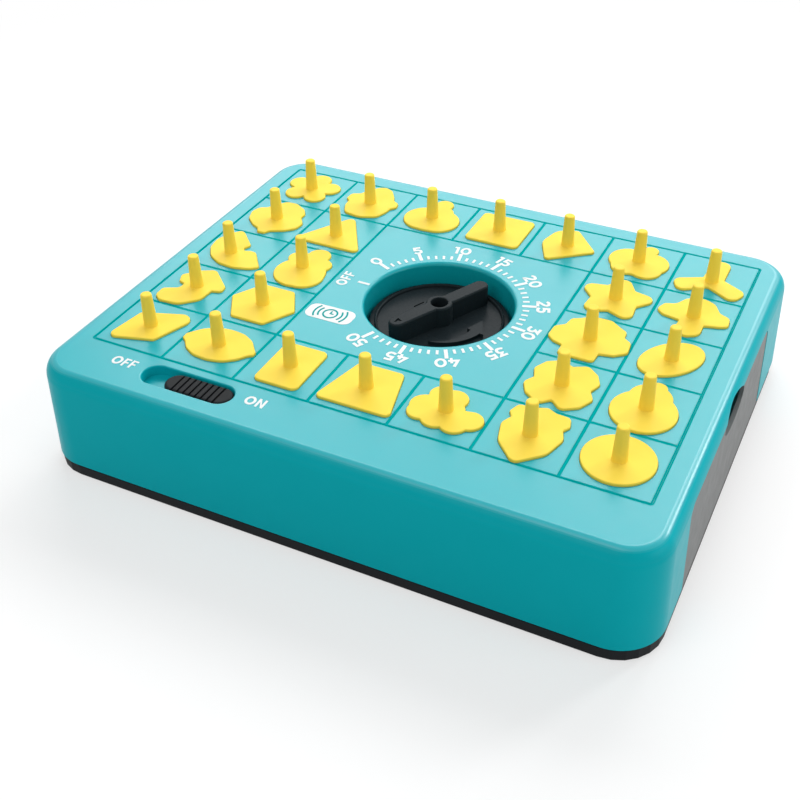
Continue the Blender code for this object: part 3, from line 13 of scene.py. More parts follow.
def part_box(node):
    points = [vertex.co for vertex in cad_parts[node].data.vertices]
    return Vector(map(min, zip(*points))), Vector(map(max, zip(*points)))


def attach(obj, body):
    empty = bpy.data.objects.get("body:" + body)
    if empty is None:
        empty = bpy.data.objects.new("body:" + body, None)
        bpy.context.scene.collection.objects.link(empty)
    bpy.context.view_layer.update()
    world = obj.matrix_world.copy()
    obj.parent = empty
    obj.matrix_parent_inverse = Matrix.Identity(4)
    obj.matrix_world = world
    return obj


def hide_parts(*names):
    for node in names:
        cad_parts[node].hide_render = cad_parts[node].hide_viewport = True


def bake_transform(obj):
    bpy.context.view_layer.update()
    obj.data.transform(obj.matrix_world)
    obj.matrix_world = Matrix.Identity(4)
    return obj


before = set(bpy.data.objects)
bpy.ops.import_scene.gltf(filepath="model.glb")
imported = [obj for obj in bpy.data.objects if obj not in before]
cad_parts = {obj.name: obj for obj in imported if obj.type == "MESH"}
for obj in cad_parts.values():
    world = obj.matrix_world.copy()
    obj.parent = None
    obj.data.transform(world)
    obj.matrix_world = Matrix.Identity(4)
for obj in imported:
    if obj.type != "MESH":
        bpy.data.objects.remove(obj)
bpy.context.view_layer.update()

# Sizes shared with the solids
GAP = 0.0003
OVERRUN = 0.002
WIDTH = 0.180
DEPTH = 0.145
BODY_TOP = 0.034
HOUSING_BOTTOM = 0.0035
HOUSING_WALL = 0.0022
TOP_THICKNESS = 0.0024
CORNER_RADIUS = 0.013
TOP_FILLET = 0.0048
DRAFT = 0.0011
BOSS_RADIUS = 0.0030
BOSS_CORNER_INSET = 0.0068
PILOT_RADIUS = 0.0011
PILOT_DEPTH = 0.014
COLUMNS = 7
ROWS = 5
CELL = 0.023
GRID_Y = 0.005
AXIS = Vector((0, GRID_Y))

# Housing details
FILLET_STEPS = 14
CORNER_STEPS = 14
BOTTOM_EDGE_ROUND = 0.0003
PILOT_SIDES = 24

# Tray
TRAY_RADIUS = 0.001
TRAY_PLATE = 0.0025
TRAY_EDGE_ROUND = 0.0001
BORDER_DEPTH = 0.0006
BORDER_GAP = 0.00005
SKIRT_WALL = 0.0016
SKIRT_BOTTOM = 0.0230
WELL_RADIUS = 0.022
WELL_WALL = 0.0014
WELL_BOTTOM = 0.0204
WELL_RIM_ROUND = 0.0012
TAB_REACH = 0.0012
TAB_HEIGHT = 0.0013
TAB_LENGTH = 0.010
TAB_WAY_SHARES = (-0.62, 0.62)
SEAM = 0.0004
POCKET_DEPTH = 0.0012
POCKET_GAP = 0.00012
LINE_WIDTH = 0.00095
LINE_DEPTH = 0.00014
PAINT_THICKNESS = 0.0001

# Shape pieces
PIECE_UNIT = 0.010
PIECE_PROUD = 0.0007
PIECE_EDGE_ROUND = 0.00035
PEG_BASE_RADIUS = 0.0020
PEG_TOP_RADIUS = 0.0016
PEG_ROUNDING = 0.0005
PEG_FOOT_ROUND = 0.0002
OVERALL_HEIGHT = 0.045

# Knob
KNOB_RADIUS = 0.0209
KNOB_FACE = 0.0277
KNOB_WEB = 0.0024
KNOB_SKIRT_WALL = 0.0016
KNOB_SKIRT_BOTTOM = 0.0210
KNOB_HUB_RADIUS = 0.0045
KNOB_HUB_BOTTOM = 0.0197
KNOB_EDGE_ROUND = 0.0006
SHAFT_SOCKET_RADIUS = 0.0025
SHAFT_SOCKET_TOP = 0.0264
SCREW_PASSAGE_RADIUS = 0.0011
RING_RADIUS = 0.0188
RING_WIDTH = 0.0010
RING_HEIGHT = 0.0008
GRIP_LENGTH = 0.036
GRIP_WIDTH = 0.0048
GRIP_HUB_RADIUS = 0.0039
GRIP_HOLE_RADIUS = 0.0025
GRIP_EDGE_ROUND = 0.0006
GRIP_END_STEPS = 24
GRIP_HUB_SIDES = 64
POINTER_DIRECTION = radians(243.4)
POINTER_REACH = 0.0166
POINTER_LENGTH = 0.0022
POINTER_WIDTH = 0.0020
POINTER_DEPTH = 0.0004
DASH_REACH = 0.0105
DASH_ANGLE = radians(150.5)
DASH_TURN = radians(66)
DASH_LENGTH = 0.0040
DASH_WIDTH = 0.0005
ARROW_RADIUS = 0.0128
ARROW_WIDTH = 0.0032
ARROW_HEAD_WIDTH = 0.0056
ARROW_HEIGHT = 0.0011
ARROW_START = radians(280)
ARROW_NECK = radians(349)
ARROW_TIP = radians(377)
ARROW_STEPS = 16

# Switch
SLOT_X = -0.0440
SLOT_Y = -0.0594
SLOT_LENGTH = 0.0282
SLOT_WIDTH = 0.008
SLOT_DEPTH = 0.003
SLOT_FLOOR = 0.0015
SLOT_BOSS_MARGIN = 0.0012
SLOT_LIP_ROUND = 0.0005
SWITCH_TRAVEL = 0.007
BUTTON_X = -0.0405
BUTTON_LENGTH = 0.0206
BUTTON_WIDTH = 0.0074
BUTTON_TOP = 0.0336
BUTTON_ROUND = 0.0009
STEM_RADIUS = 0.0012
STEM_BOTTOM = 0.0098
GROOVES = 8
GROOVE_PITCH = 0.00185
GROOVE_WIDTH = 0.0006
GROOVE_DEPTH = 0.0007

# Drawer
DRAWER_Y = -0.004
DRAWER_BOX_LEFT = 0.029
DRAWER_BOX_WIDTH = 0.074
DRAWER_BOX_TOP = 0.021
DRAWER_WALL = 0.0015
DRAWER_FRONT_WIDTH = 0.084
DRAWER_FRONT_TOP = 0.030
DRAWER_FRONT_THICKNESS = 0.0034
DRAWER_FRONT_CORNER = 0.003
DRAWER_FACE = 0.0899
NOTCH_Y = -0.002
NOTCH_LENGTH = 0.0210
NOTCH_HEIGHT = 0.0078
NOTCH_RISE = 0.0015
NOTCH_LIP = 0.0010
NOTCH_HOLLOW = 0.0030

# Markings
PRINT_THICKNESS = 0.00008
PRINT_LAYER = (BODY_TOP, BODY_TOP + PRINT_THICKNESS)
ZERO_ANGLE = radians(154.7)
UNIT_ANGLE = radians(-5.4)
LAST_MINUTE = 50
NUMBER_STEP = 5
LONG_TICK = (0.0241, 0.0283, 0.00105)
SHORT_TICK = (0.0244, 0.0263, 0.00075)
OFF_TICK = (0.0230, 0.0268, 0.00090)
NUMBER_RADIUS = 0.0302
NUMBER_HEIGHT = 0.0040
OFF_RADIUS = 0.0312
OFF_HEIGHT = 0.0034
WORD_HEIGHT = 0.0034
WORD_PLACES = {"OFF": (-0.0653, -0.0584), "ON": (-0.0234, -0.0584)}
BADGE_CENTRE = (-0.0259, -0.0139)
BADGE_SIZE = (0.0148, 0.0070)
BADGE_CORNER = 0.0025
CLOCK_RADIUS = 0.0021
CLOCK_STROKE = 0.00050
WAVE_RADII = (0.0036, 0.0050)
WAVE_SPREAD = radians(34)
WAVE_STEPS = 12
CLOCK_HANDS_SHARES = ((0.0, 0.62), (0.0, 0.0), (0.5, 0.0))
HAND_STROKE = 0.00040
STROKE_SHARE = 0.21
LETTER_GAP_SHARE = 0.10
LETTER_SIDES = 40

# Glyphs in thousandths of their height: a width, then lines through points, loops of a middle and radii,
# bars of two corners, and plain areas
GLYPH_SCALE = 1000
GLYPHS = {
    "0": (820, [("loop", ((410, 500), (315, 405)))]),
    "1": (420, [("line", ((0, 905), (260, 905), (260, 0)))]),
    "2": (720, [("line", (
        (60, 735), (130, 850), (240, 900), (360, 905), (490, 860), (555, 750), (530, 610), (430, 480),
        (130, 160), (130, 95), (680, 95),
    ))]),
    "3": (700, [("line", (
        (60, 905), (580, 905), (340, 595), (460, 570), (565, 480), (590, 340), (550, 200), (440, 110),
        (300, 95), (150, 130), (50, 200),
    ))]),
    "4": (800, [
        ("line", ((420, 1000), (110, 315), (780, 315))),
        ("bar", ((460, 0), (650, 215))),
        ("bar", ((460, 415), (650, 600))),
    ]),
    "5": (700, [("line", (
        (640, 905), (170, 905), (140, 565), (320, 575), (470, 550), (575, 460), (600, 335), (560, 200),
        (450, 110), (310, 95), (160, 130), (60, 200),
    ))]),
    "O": (900, [("loop", ((450, 500), (350, 405)))]),
    "F": (580, [
        ("bar", ((40, 0), (230, 1000))),
        ("bar", ((230, 820), (570, 1000))),
        ("bar", ((230, 400), (520, 570))),
    ]),
    "N": (780, [
        ("bar", ((40, 0), (230, 1000))),
        ("area", ((230, 680), (550, 50), (550, 330), (230, 960))),
        ("bar", ((550, 0), (740, 1000))),
    ]),
}

# Outlines of the shape pieces, in hundredths of PIECE_UNIT from the cell's middle
SHAPE_SCALE = 100

# Corners as x, y and radius
CORNER_SHAPES = {
    "square": ((-86, 89, 16), (-86, -88, 18), (91, -88, 18), (91, 89, 16)),
    "acorn": (
        (3, 108, 20), (-22, 98, 20), (-48, 62, 30), (-60, 36, 10), (-88, 22, 15), (-90, -10, 12),
        (-74, -26, 6), (-72, -55, 30), (-52, -100, 30), (8, -110, 50), (62, -86, 30), (76, -45, 30),
        (78, -22, 6), (93, -4, 12), (88, 22, 15), (66, 35, 10), (55, 58, 30), (30, 95, 20),
    ),
    "sector": ((5, 98, 12), (-60, 76, 50), (-82, -10, 60), (-36, -108, 12), (94, -8, 12)),
    "propeller": (
        (-22, 100, 26), (-28, -10, 8), (-110, -50, 24), (-82, -112, 24), (-2, -58, 8), (82, -112, 24),
        (110, -50, 24), (34, -6, 8), (34, 100, 26),
    ),
    "turnip": (
        (12, 111, 30), (-26, 109, 25), (-46, 80, 20), (-68, 48, 12), (-90, 38, 25), (-100, 6, 35),
        (-86, -38, 40), (-50, -70, 40), (-26, -80, 6), (-14, -102, 8), (10, -102, 10), (22, -82, 8),
        (62, -62, 40), (92, -36, 35), (95, 2, 25), (70, 36, 8), (71, 60, 15), (54, 86, 25),
    ),
    "triangle": ((0, 112, 18), (-117, -87, 15), (117, -87, 15)),
    "crescent": (
        (-58, 109, 12), (-84, 80, 40), (-102, 30, 50), (-94, -20, 50), (-66, -62, 50), (-20, -90, 60),
        (36, -95, 50), (86, -82, 30), (112, -62, 10), (56, 10, 15), (36, 12, 12), (15, 4, 6), (7, 18, 5),
        (18, 42, 12), (-12, 72, 60), (-42, 102, 12),
    ),
    "tree": (
        (30, 110, 25), (-28, 110, 25), (-55, 88, 10), (-80, 74, 15), (-86, 40, 12), (-112, 20, 20),
        (-114, -30, 20), (-92, -50, 15), (-62, -60, 6), (-62, -102, 12), (42, -102, 12), (44, -60, 6),
        (84, -52, 15), (116, -26, 20), (110, 26, 20), (86, 42, 12), (84, 72, 15), (62, 86, 15),
    ),
    "mushroom": (
        (3, 100, 20), (-42, 76, 30), (-80, 34, 15), (-66, 2, 12), (-42, -6, 8), (-44, -30, 15),
        (-88, -52, 15), (-86, -92, 20), (-60, -110, 20), (2, -106, 40), (50, -60, 35), (54, -6, 6),
        (84, 2, 12), (80, 30, 20),
    ),
    "clover": (
        (2, 84, 6), (-34, 102, 20), (-72, 78, 20), (-92, 38, 18), (-78, 0, 6), (-96, -32, 18),
        (-76, -72, 20), (-30, -104, 20), (0, -76, 6), (32, -106, 20), (76, -78, 20), (98, -34, 18),
        (80, 0, 6), (94, 36, 18), (76, 74, 20), (40, 104, 20),
    ),
    "club": (
        (-93, 34, 16), (-107, -2, 20), (-84, -24, 25), (-32, -34, 6), (-36, -90, 30), (2, -108, 25),
        (40, -86, 30), (38, -36, 6), (80, -25, 20), (103, -14, 16), (98, 30, 20), (66, 44, 25),
        (44, 84, 35), (6, 106, 50), (-42, 84, 30), (-62, 44, 30),
    ),
    "rhomboid": ((-66, 42, 12), (-88, -98, 20), (50, -58, 12), (108, 104, 30)),
    "lemon": (
        (-5, 77, 80), (-50, 70, 60), (-86, 46, 50), (-106, 20, 40), (-115, 8, 6), (-114, -12, 6),
        (-98, -24, 40), (-80, -48, 50), (-42, -70, 60), (8, -74, 80), (50, -64, 60), (82, -40, 50),
        (100, -14, 40), (113, -4, 6), (112, 10, 6), (94, 30, 40), (76, 52, 50), (40, 72, 60),
    ),
    "rectangle": ((-65, 92, 15), (-65, -93, 18), (68, -93, 18), (68, 92, 18)),
    "trapezoid": ((-66, 92, 15), (-110, -90, 15), (112, -90, 15), (68, 92, 15)),
    "strawberry": (
        (5, 118, 12), (-30, 104, 8), (-70, 102, 16), (-82, 66, 10), (-69, 46, 6), (-84, 14, 30),
        (-66, -54, 50), (-2, -120, 20), (64, -58, 50), (84, 12, 30), (70, 46, 6), (82, 66, 10),
        (72, 102, 16), (32, 105, 8),
    ),
}

# Round lobes as x, y and radius
LOBE_SHAPES = {
    "pear": ((3, 78, 30), (4, 20, 52), (-20, -28, 70), (26, -28, 70), (3, -22, 78)),
    "apple": ((18, 74, 24), (-28, -2, 64), (34, -2, 60), (2, -10, 72), (-28, -42, 46), (34, -42, 48)),
    "gourd": ((15, 76, 37), (-36, 40, 34), (48, 30, 33), (6, 10, 52), (8, -32, 80), (30, -48, 62)),
    "snowman": ((5, 86, 26), (-2, 40, 58), (-2, -22, 88)),
    "cloud": (
        (-36, 56, 34), (2, 50, 38), (-58, -2, 42), (72, -16, 38), (-60, -28, 36), (-12, -38, 40),
        (40, -40, 40), (0, 0, 50),
    ),
    "circle": ((-2, 2, 94),),
}

# The other shapes, in shares of PIECE_UNIT: the star's are the reach and radius of a tip and a notch
FLOWER_PETAL_SHARE = 0.37
FLOWER_RING_SHARE = 0.60
FLOWER_CORE_SHARE = 0.50
FLOWER_RISE_SHARE = 0.03
FLOWER_PETALS = 5
STAR_POINTS = 5
STAR_SHARES = ((1.30, 0.26), (0.72, 0.08))
HEXAGON_SIDES = 6
HEXAGON_SHARE = 1.06
HEXAGON_ROUND_SHARE = 0.12
OVAL_SHARES = (1.02, 0.68)
OVAL_TILT = radians(53)

# Where a peg stands away from its cell's middle, in the same shares
PEG_PLACE_SHARES = {
    "acorn": (0.0, -0.10), "pear": (0.0, -0.14), "propeller": (0.0, -0.21), "triangle": (0.0, -0.17),
    "crescent": (-0.17, -0.19), "snowman": (0.0, -0.06),
}
PIECE_ROWS = (
    ("flower", "acorn", "pear", "square", "sector", "apple", "propeller"),
    ("turnip", "triangle", "", "", "", "star", "club"),
    ("crescent", "gourd", "", "", "", "tree", "oval"),
    ("mushroom", "hexagon", "", "", "", "clover", "snowman"),
    ("rhomboid", "lemon", "rectangle", "trapezoid", "cloud", "strawberry", "circle"),
)
DIAL_CELLS = 3

# The middle of each piece's cell: row 0 at the back, column 0 at the left
CENTRES = {
    name: Vector(((column - (COLUMNS - 1) / 2) * CELL, GRID_Y + ((ROWS - 1) / 2 - row) * CELL))
    for row, names in enumerate(PIECE_ROWS) for column, name in enumerate(names) if name
}

# Springs and screws
SPRING_PLACES = ((-0.073, -0.0468), (0.073, -0.0468), (-0.073, 0.0555), (0.073, 0.0555))
SPRING_RADIUS = 0.0030
SPRING_WIRE = 0.0004
SPRING_TURNS = 5
SPRING_STEPS = 28
WIRE_SIDES = 10
SPRING_LOW = 0.0027
SPRING_HIGH = 0.0308
MAINSPRING_INNER = 0.0032
MAINSPRING_OUTER = 0.0094
MAINSPRING_STRIP = 0.0004
MAINSPRING_TURNS = 4
MAINSPRING_STEPS = 48
MAINSPRING_BOTTOM = 0.0092
MAINSPRING_TOP = 0.0126
SCREW_SHANK_RADIUS = 0.00075
SCREW_TIP_RADIUS = 0.0002
SCREW_HEAD_HEIGHT = 0.0008
SCREW_EDGE = 0.0002
CROSS_LENGTH_SHARE = 1.3
CROSS_WIDTH_SHARE = 0.22
CROSS_DEPTH = 0.0005

# Camera
FOCAL_LENGTH = 51.1058
SHIFT = -0.01092
CAMERA_PLACE = (0.1160483, -0.2495395, 0.2145217)
CAMERA_AZIMUTH = radians(26.4259)
CAMERA_ELEVATION = radians(37.7477)
CAMERA_ROLL = radians(-0.8323)
SENSOR_WIDTH = 36
CLIP_START = 0.01
CLIP_END = 20

# Light and floor
AMBIENT = 0.33
FLOOR_COLOUR = 0.76
FLOOR_SEEN_COLOUR = 0.46
FLOOR_GLOW = 0.52
FLOOR_NEAR = 0.14
FLOOR_FAR = 0.42
FLOOR_REACH = 4
LAMP_AIM = (0, 0, 0.02)
LAMPS = (
    ("overhead", (-0.10, -0.32, 1.05), (0.6, 0.5), 1.5),
    ("back", (-0.28, 0.95, 0.76), (1.3, 0.7), 12.0),
    ("corner", (-0.003, 0.732, 0.825), (0.35, 0.25), 1.4),
    ("edge", (0.52, 0.77, 0.62), (0.18, 0.18), 3.0),
    ("front", (-0.25, -0.75, 0.75), (0.8, 0.5), 2.3),
    ("side", (1.1, 0.05, 0.40), (0.8, 0.5), 3.0),
)

# Facets and shading
ARC_STEP = radians(9)
LOBE_POINTS = 120
ROUND_SIDES = 96
MIDDLE_SIDES = 48
SMALL_SIDES = 32
SMOOTH_ANGLE = radians(32)
ROUND_STEPS = 4
EDGE_STEPS = 6
FINE_STEPS = 8
END_STEPS = 20
STEP_TOLERANCE_SHARE = 0.001
SAME_POINT = 1e-7
MITRE_LIMIT = 0.5
STROKE_MITRE_LIMIT = 0.4

# Textures: the used range of a noise, scales per metre, and the strengths and depths of bumps
NOISE_LOW = 0.3
NOISE_HIGH = 0.7
DRIFT_SCALE = 70
GLOSS_SCALE = 260
GRAIN_SCALE = 9000
GRAIN_DEPTH = 0.00001
FLOW_SCALE = 60
FLOW_STRENGTH = 0.15
FLOW_DEPTH = 0.00005
DRAWN_SCALE = 900
DRAWN_GLOSS_SCALE = 400
DRAWN_DEPTH = 0.00004
DRAWN_STRETCH = (0.05, 1.0, 1.0)

# The housing's teal: its colour on the top, how far it drifts, and its surface
TEAL_COLOUR = (0.001, 0.375, 0.430)
TEAL_DRIFT = (0.001, 0.007, 0.008)
TEAL_ROUGHNESS = (0.28, 0.32)
TEAL_GRAIN = 0.06


# Outlines, as lists of x and y that run anticlockwise


def polar(radius, angle, centre=(0, 0)):
    return Vector((centre[0] + radius * cos(angle), centre[1] + radius * sin(angle)))


def ramp(start, change, steps):
    return [start + change * s / steps for s in range(steps + 1)]


def circle(radius, centre=(0, 0), sides=ROUND_SIDES, turn=0.0):
    return [polar(radius, turn + 2 * pi * i / sides, centre) for i in range(sides)]


def ellipse(centre, radii, sides):
    return [(centre[0] + p.x * radii[0], centre[1] + p.y * radii[1]) for p in circle(1, sides=sides)]


def rounded(corners, arc_step=ARC_STEP):
    """The outline through corners of x, y and radius, each rounded by an arc that touches both its sides."""
    points = []
    count = len(corners)
    for i, (x, y, radius) in enumerate(corners):
        here = Vector((x, y))
        before = Vector(corners[i - 1][:2]) - here
        after = Vector(corners[(i + 1) % count][:2]) - here
        if radius == 0:
            points.append(here)
            continue
        half = before.angle(after) / 2
        reach = min(radius / tan(half), before.length / 2, after.length / 2)
        radius = reach * tan(half)
        centre = here + (before.normalized() + after.normalized()).normalized() * radius / sin(half)
        start = here + before.normalized() * reach - centre
        end = here + after.normalized() * reach - centre
        sweep = -start.angle_signed(end)
        steps = max(1, ceil(abs(sweep) / arc_step - STEP_TOLERANCE_SHARE))
        turns = ramp(atan2(start.y, start.x), sweep, steps)
        points += [polar(radius, turn, centre) for turn in turns]
    return points


def rectangle(low, high, radius=0.0, arc_step=ARC_STEP):
    x0, y0 = low
    x1, y1 = high
    return rounded([(x0, y0, radius), (x1, y0, radius), (x1, y1, radius), (x0, y1, radius)], arc_step)


def stadium(length, width, centre, turn=0.0, end_steps=END_STEPS):
    """A slot shape with full-round ends, its length along the direction turn."""
    along = polar((length - width) / 2, turn)
    points = []
    for side in (1, -1):
        end = Vector(centre) + side * along
        turns = ramp(turn - side * pi / 2, pi, end_steps)
        points += [polar(width / 2, angle, end) for angle in turns]
    return points


def lobes(rounds, grow):
    """The outer edge of round lobes, seen from the middle."""
    edge = []
    for i in range(LOBE_POINTS):
        ray = polar(1, 2 * pi * (i + 0.5) / LOBE_POINTS)
        reach = 0.0
        for x, y, radius in rounds:
            along = ray.dot(Vector((x, y)))
            aside = Vector((x, y)).length_squared - along * along
            if aside < radius * radius:
                reach = max(reach, along + sqrt(radius * radius - aside))
        edge.append(ray * (reach * PIECE_UNIT + grow))
    return edge


def grown(outline, distance):
    """The outline moved outwards by a distance, each side kept parallel."""
    clean = [p for i, p in enumerate(outline) if (p - outline[i - 1]).length > SAME_POINT]
    ways = [(here - clean[i - 1]).normalized() for i, here in enumerate(clean)]
    normals = [Vector((way.y, -way.x)) for way in ways]
    points = []
    for here, before, after in zip(clean, normals, normals[1:] + normals[:1]):
        middle = (before + after).normalized()
        points.append(here + middle * distance / max(MITRE_LIMIT, middle.dot(after)))
    return points


def shape_rows(name):
    """A piece's corners or lobes as x, y and radius, in shares of PIECE_UNIT."""
    if name == "flower":
        ring = circle(FLOWER_RING_SHARE, sides=FLOWER_PETALS, turn=pi / 2)
        petals = [(spot.x, spot.y + FLOWER_RISE_SHARE, FLOWER_PETAL_SHARE) for spot in ring]
        return petals + [(0, FLOWER_RISE_SHARE, FLOWER_CORE_SHARE)]
    if name == "hexagon":
        return [(*spot, HEXAGON_ROUND_SHARE) for spot in circle(HEXAGON_SHARE, sides=HEXAGON_SIDES)]
    if name == "star":
        kinds = STAR_SHARES * STAR_POINTS
        turns = ramp(pi / 2, 2 * pi, len(kinds))
        return [(*polar(reach, turn), radius) for turn, (reach, radius) in zip(turns, kinds)]
    table = LOBE_SHAPES[name] if name in LOBE_SHAPES else CORNER_SHAPES[name]
    return [[value / SHAPE_SCALE for value in row] for row in table]


def piece_outline(name, grow=0.0):
    """A piece's outline from its cell's middle, grown by a clearance for its pocket."""
    if name == "flower" or name in LOBE_SHAPES:
        return lobes(shape_rows(name), grow)
    if name == "oval":
        turn = Matrix.Rotation(OVAL_TILT, 2)
        shape = [turn @ Vector(point) for point in ellipse((0, 0), OVAL_SHARES, LOBE_POINTS)]
    else:
        shape = rounded(shape_rows(name))
    return grown([point * PIECE_UNIT for point in shape], grow)


def tray_outline(margin=0.0):
    half_x = COLUMNS * CELL / 2 + margin
    half_y = ROWS * CELL / 2 + margin
    return rectangle((-half_x, GRID_Y - half_y), (half_x, GRID_Y + half_y), TRAY_RADIUS)


def body_loop(inset):
    half_x = WIDTH / 2 - inset
    half_y = DEPTH / 2 - inset
    return rectangle((-half_x, -half_y), (half_x, half_y), CORNER_RADIUS - inset, pi / 2 / CORNER_STEPS)


# Meshes


def slab(outline, bottom, top):
    return stack([(outline, bottom), (outline, top)])


def corner_rings(mesh, loops):
    """Rings of corners along loops that are given with their heights."""
    return [[mesh.verts.new((*point, height)) for point in loop] for loop, height in loops]


def bridge(mesh, rings):
    """Side faces between rings of corners."""
    for low, high in zip(rings, rings[1:]):
        for i in range(len(low)):
            mesh.faces.new((low[i - 1], low[i], high[i], high[i - 1]))


def stack(loops):
    """A closed body through loops that are given with their heights."""
    mesh = bmesh.new()
    rings = corner_rings(mesh, loops)
    mesh.faces.new(reversed(rings[0]))
    mesh.faces.new(rings[-1])
    bridge(mesh, rings)
    return mesh


def lathe(profile, centre=AXIS, sides=ROUND_SIDES):
    """A closed body of rings given as radius and height."""
    return stack([(circle(radius, centre, sides), height) for radius, height in profile])


def cylinder(radius, bottom, top, centre, sides=ROUND_SIDES):
    return slab(circle(radius, centre, sides), bottom, top)


def block(low, high):
    return slab(rectangle(low[:2], high[:2]), low[2], high[2])


def bar_along_x(outline, left, right):
    """A prism along X, its outline given as y and z."""
    mesh = slab(outline, left, right)
    mesh.transform(Matrix(((0, 0, 1, 0), (1, 0, 0, 0), (0, 1, 0, 0), (0, 0, 0, 1))))
    return mesh


def merged(meshes):
    """Separate bodies in one mesh."""
    whole = bmesh.new()
    for mesh in meshes:
        copy = bpy.data.meshes.new("copy")
        mesh.to_mesh(copy)
        mesh.free()
        whole.from_mesh(copy)
        bpy.data.meshes.remove(copy)
    return whole


def quarter(steps, first=1):
    """The steps of a rounded edge: how far in and how far up, in shares of its radius."""
    return [(1 - cos(turn), sin(turn)) for turn in ramp(0, pi / 2, steps)[first:]]


def edge_loops(outline, bottom, top, radius, way, steps=ROUND_STEPS):
    """Loops with their heights up to an upper edge that is rounded inwards (way -1) or outwards (way 1)."""
    base = grown(outline, 0)
    loops = [(base, bottom), (base, top - radius)]
    for inward, upward in quarter(steps):
        loops.append((grown(outline, way * radius * inward), top - radius + radius * upward))
    return loops


def rounded_top(outline, bottom, top, radius, steps=ROUND_STEPS):
    return stack(edge_loops(outline, bottom, top, radius, -1, steps))


def flared(outline, bottom, top, radius, steps=ROUND_STEPS):
    """A cutter for a hole whose upper rim is rounded, the rim's top lying at top."""
    loops = edge_loops(outline, bottom, top, radius, 1, steps)
    return stack([*loops, (loops[-1][0], top + OVERRUN)])


def placed(name, data, **settings):
    """A new object in the scene, with its data's settings."""
    for setting, value in settings.items():
        setattr(data, setting, value)
    item = bpy.data.objects.new(name, data)
    bpy.context.collection.objects.link(item)
    return item


def solid(name, mesh):
    """A new object whose mesh is given in world places."""
    bmesh.ops.recalc_face_normals(mesh, faces=mesh.faces)
    data = bpy.data.meshes.new(name)
    mesh.to_mesh(data)
    mesh.free()
    return placed(name, data)


def carve(item, mesh, operation="DIFFERENCE"):
    """A Boolean step, kept in the mesh."""
    tool = solid("carving", mesh)
    step = item.modifiers.new("step", "BOOLEAN")
    step.operation = operation
    step.object = tool
    shaped = item.evaluated_get(bpy.context.evaluated_depsgraph_get())
    data = bpy.data.meshes.new_from_object(shaped)
    item.modifiers.clear()
    old = item.data
    item.data = data
    bpy.data.meshes.remove(old)
    bpy.data.objects.remove(tool, do_unlink=True)
    return item


def finish(item, material):
    """The material and smooth shading up to an angle, flat faces kept flat."""
    item.data.materials.clear()
    item.data.materials.append(material)
    for face in item.data.polygons:
        face.use_smooth = True
    item.data.set_sharp_from_angle(angle=SMOOTH_ANGLE)
    item.modifiers.new("even_normals", "WEIGHTED_NORMAL").keep_sharp = True


def dress(item, material, body, slot, *stands_for):
    """Gives a piece its finish and the body that carries it."""
    item.data.name = item.name
    finish(item, material)
    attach(item, body)
    if stands_for:
        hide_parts(*stands_for)


# Materials


def feed(tree, node, inputs):
    """Sets a node's inputs, by name or number, to values or links them to other nodes."""
    for socket, value in inputs.items():
        if isinstance(value, bpy.types.NodeSocket):
            tree.links.new(value, node.inputs[socket])
        else:
            node.inputs[socket].default_value = value


def add(tree, kind, inputs=None, **settings):
    """The outputs of a new shader node."""
    node = tree.nodes.new(f"ShaderNode{kind}")
    for name, value in settings.items():
        setattr(node, name, value)
    feed(tree, node, inputs or {})
    return node.outputs


def noise(tree, place, scale, detail=3.0):
    return add(tree, "TexNoise", {"Scale": scale, "Detail": detail, "Vector": place})["Fac"]


def spread(tree, value, low, high):
    """Maps a noise's middle range to low and high."""
    inputs = {"From Min": NOISE_LOW, "From Max": NOISE_HIGH, "To Min": low, "To Max": high, "Value": value}
    return add(tree, "MapRange", inputs)["Result"]


def bump(tree, height, strength, distance, onto=None):
    inputs = {"Strength": strength, "Distance": distance, "Height": height}
    return add(tree, "Bump", {**inputs, "Normal": onto} if onto else inputs)["Normal"]


def blend_colour(tree, first, second, factor):
    inputs = {"A": (*first, 1), "B": (*second, 1), "Factor": factor}
    return add(tree, "Mix", inputs, data_type="RGBA")["Result"]


def blank(name, colour):
    """A new material, its node tree, and the places that its textures follow."""
    material = bpy.data.materials.new(name)
    material.use_nodes = True
    material.diffuse_color = (*colour, 1)
    tree = material.node_tree
    return material, tree, add(tree, "TexCoord")["Object"]


def moulded(name, colour, second, roughness, grain=0.25, specular=0.5):
    """Moulded plastic: a slow drift between two near colours, uneven gloss and a fine texture."""
    material, tree, place = blank(name, colour)
    fine = bump(tree, noise(tree, place, GRAIN_SCALE, 2.0), grain, GRAIN_DEPTH)
    feed(tree, tree.nodes["Principled BSDF"], {
        "Base Color": blend_colour(tree, colour, second, spread(tree, noise(tree, place, DRIFT_SCALE), 0, 1)),
        "Roughness": spread(tree, noise(tree, place, GLOSS_SCALE), *roughness),
        "Normal": bump(tree, noise(tree, place, FLOW_SCALE, 1.0), FLOW_STRENGTH, FLOW_DEPTH, fine),
        "Specular IOR Level": specular,
    })
    return material


def metal(name, colour, second, roughness):
    """Bare metal with fine drawn lines along X."""
    material, tree, place = blank(name, colour)
    stretched = add(tree, "Mapping", {"Scale": DRAWN_STRETCH, "Vector": place})["Vector"]
    lines = noise(tree, stretched, DRAWN_SCALE, 4.0)
    feed(tree, tree.nodes["Principled BSDF"], {
        "Metallic": 1.0,
        "Base Color": blend_colour(tree, colour, second, spread(tree, lines, 0, 1)),
        "Roughness": spread(tree, noise(tree, place, DRAWN_GLOSS_SCALE), *roughness),
        "Normal": bump(tree, lines, FLOW_STRENGTH, DRAWN_DEPTH),
    })
    return material


def teal(name, specular, colour=TEAL_COLOUR):
    second = [tone + drift for tone, drift in zip(colour, TEAL_DRIFT)]
    return moulded(name, colour, second, TEAL_ROUGHNESS, TEAL_GRAIN, specular)


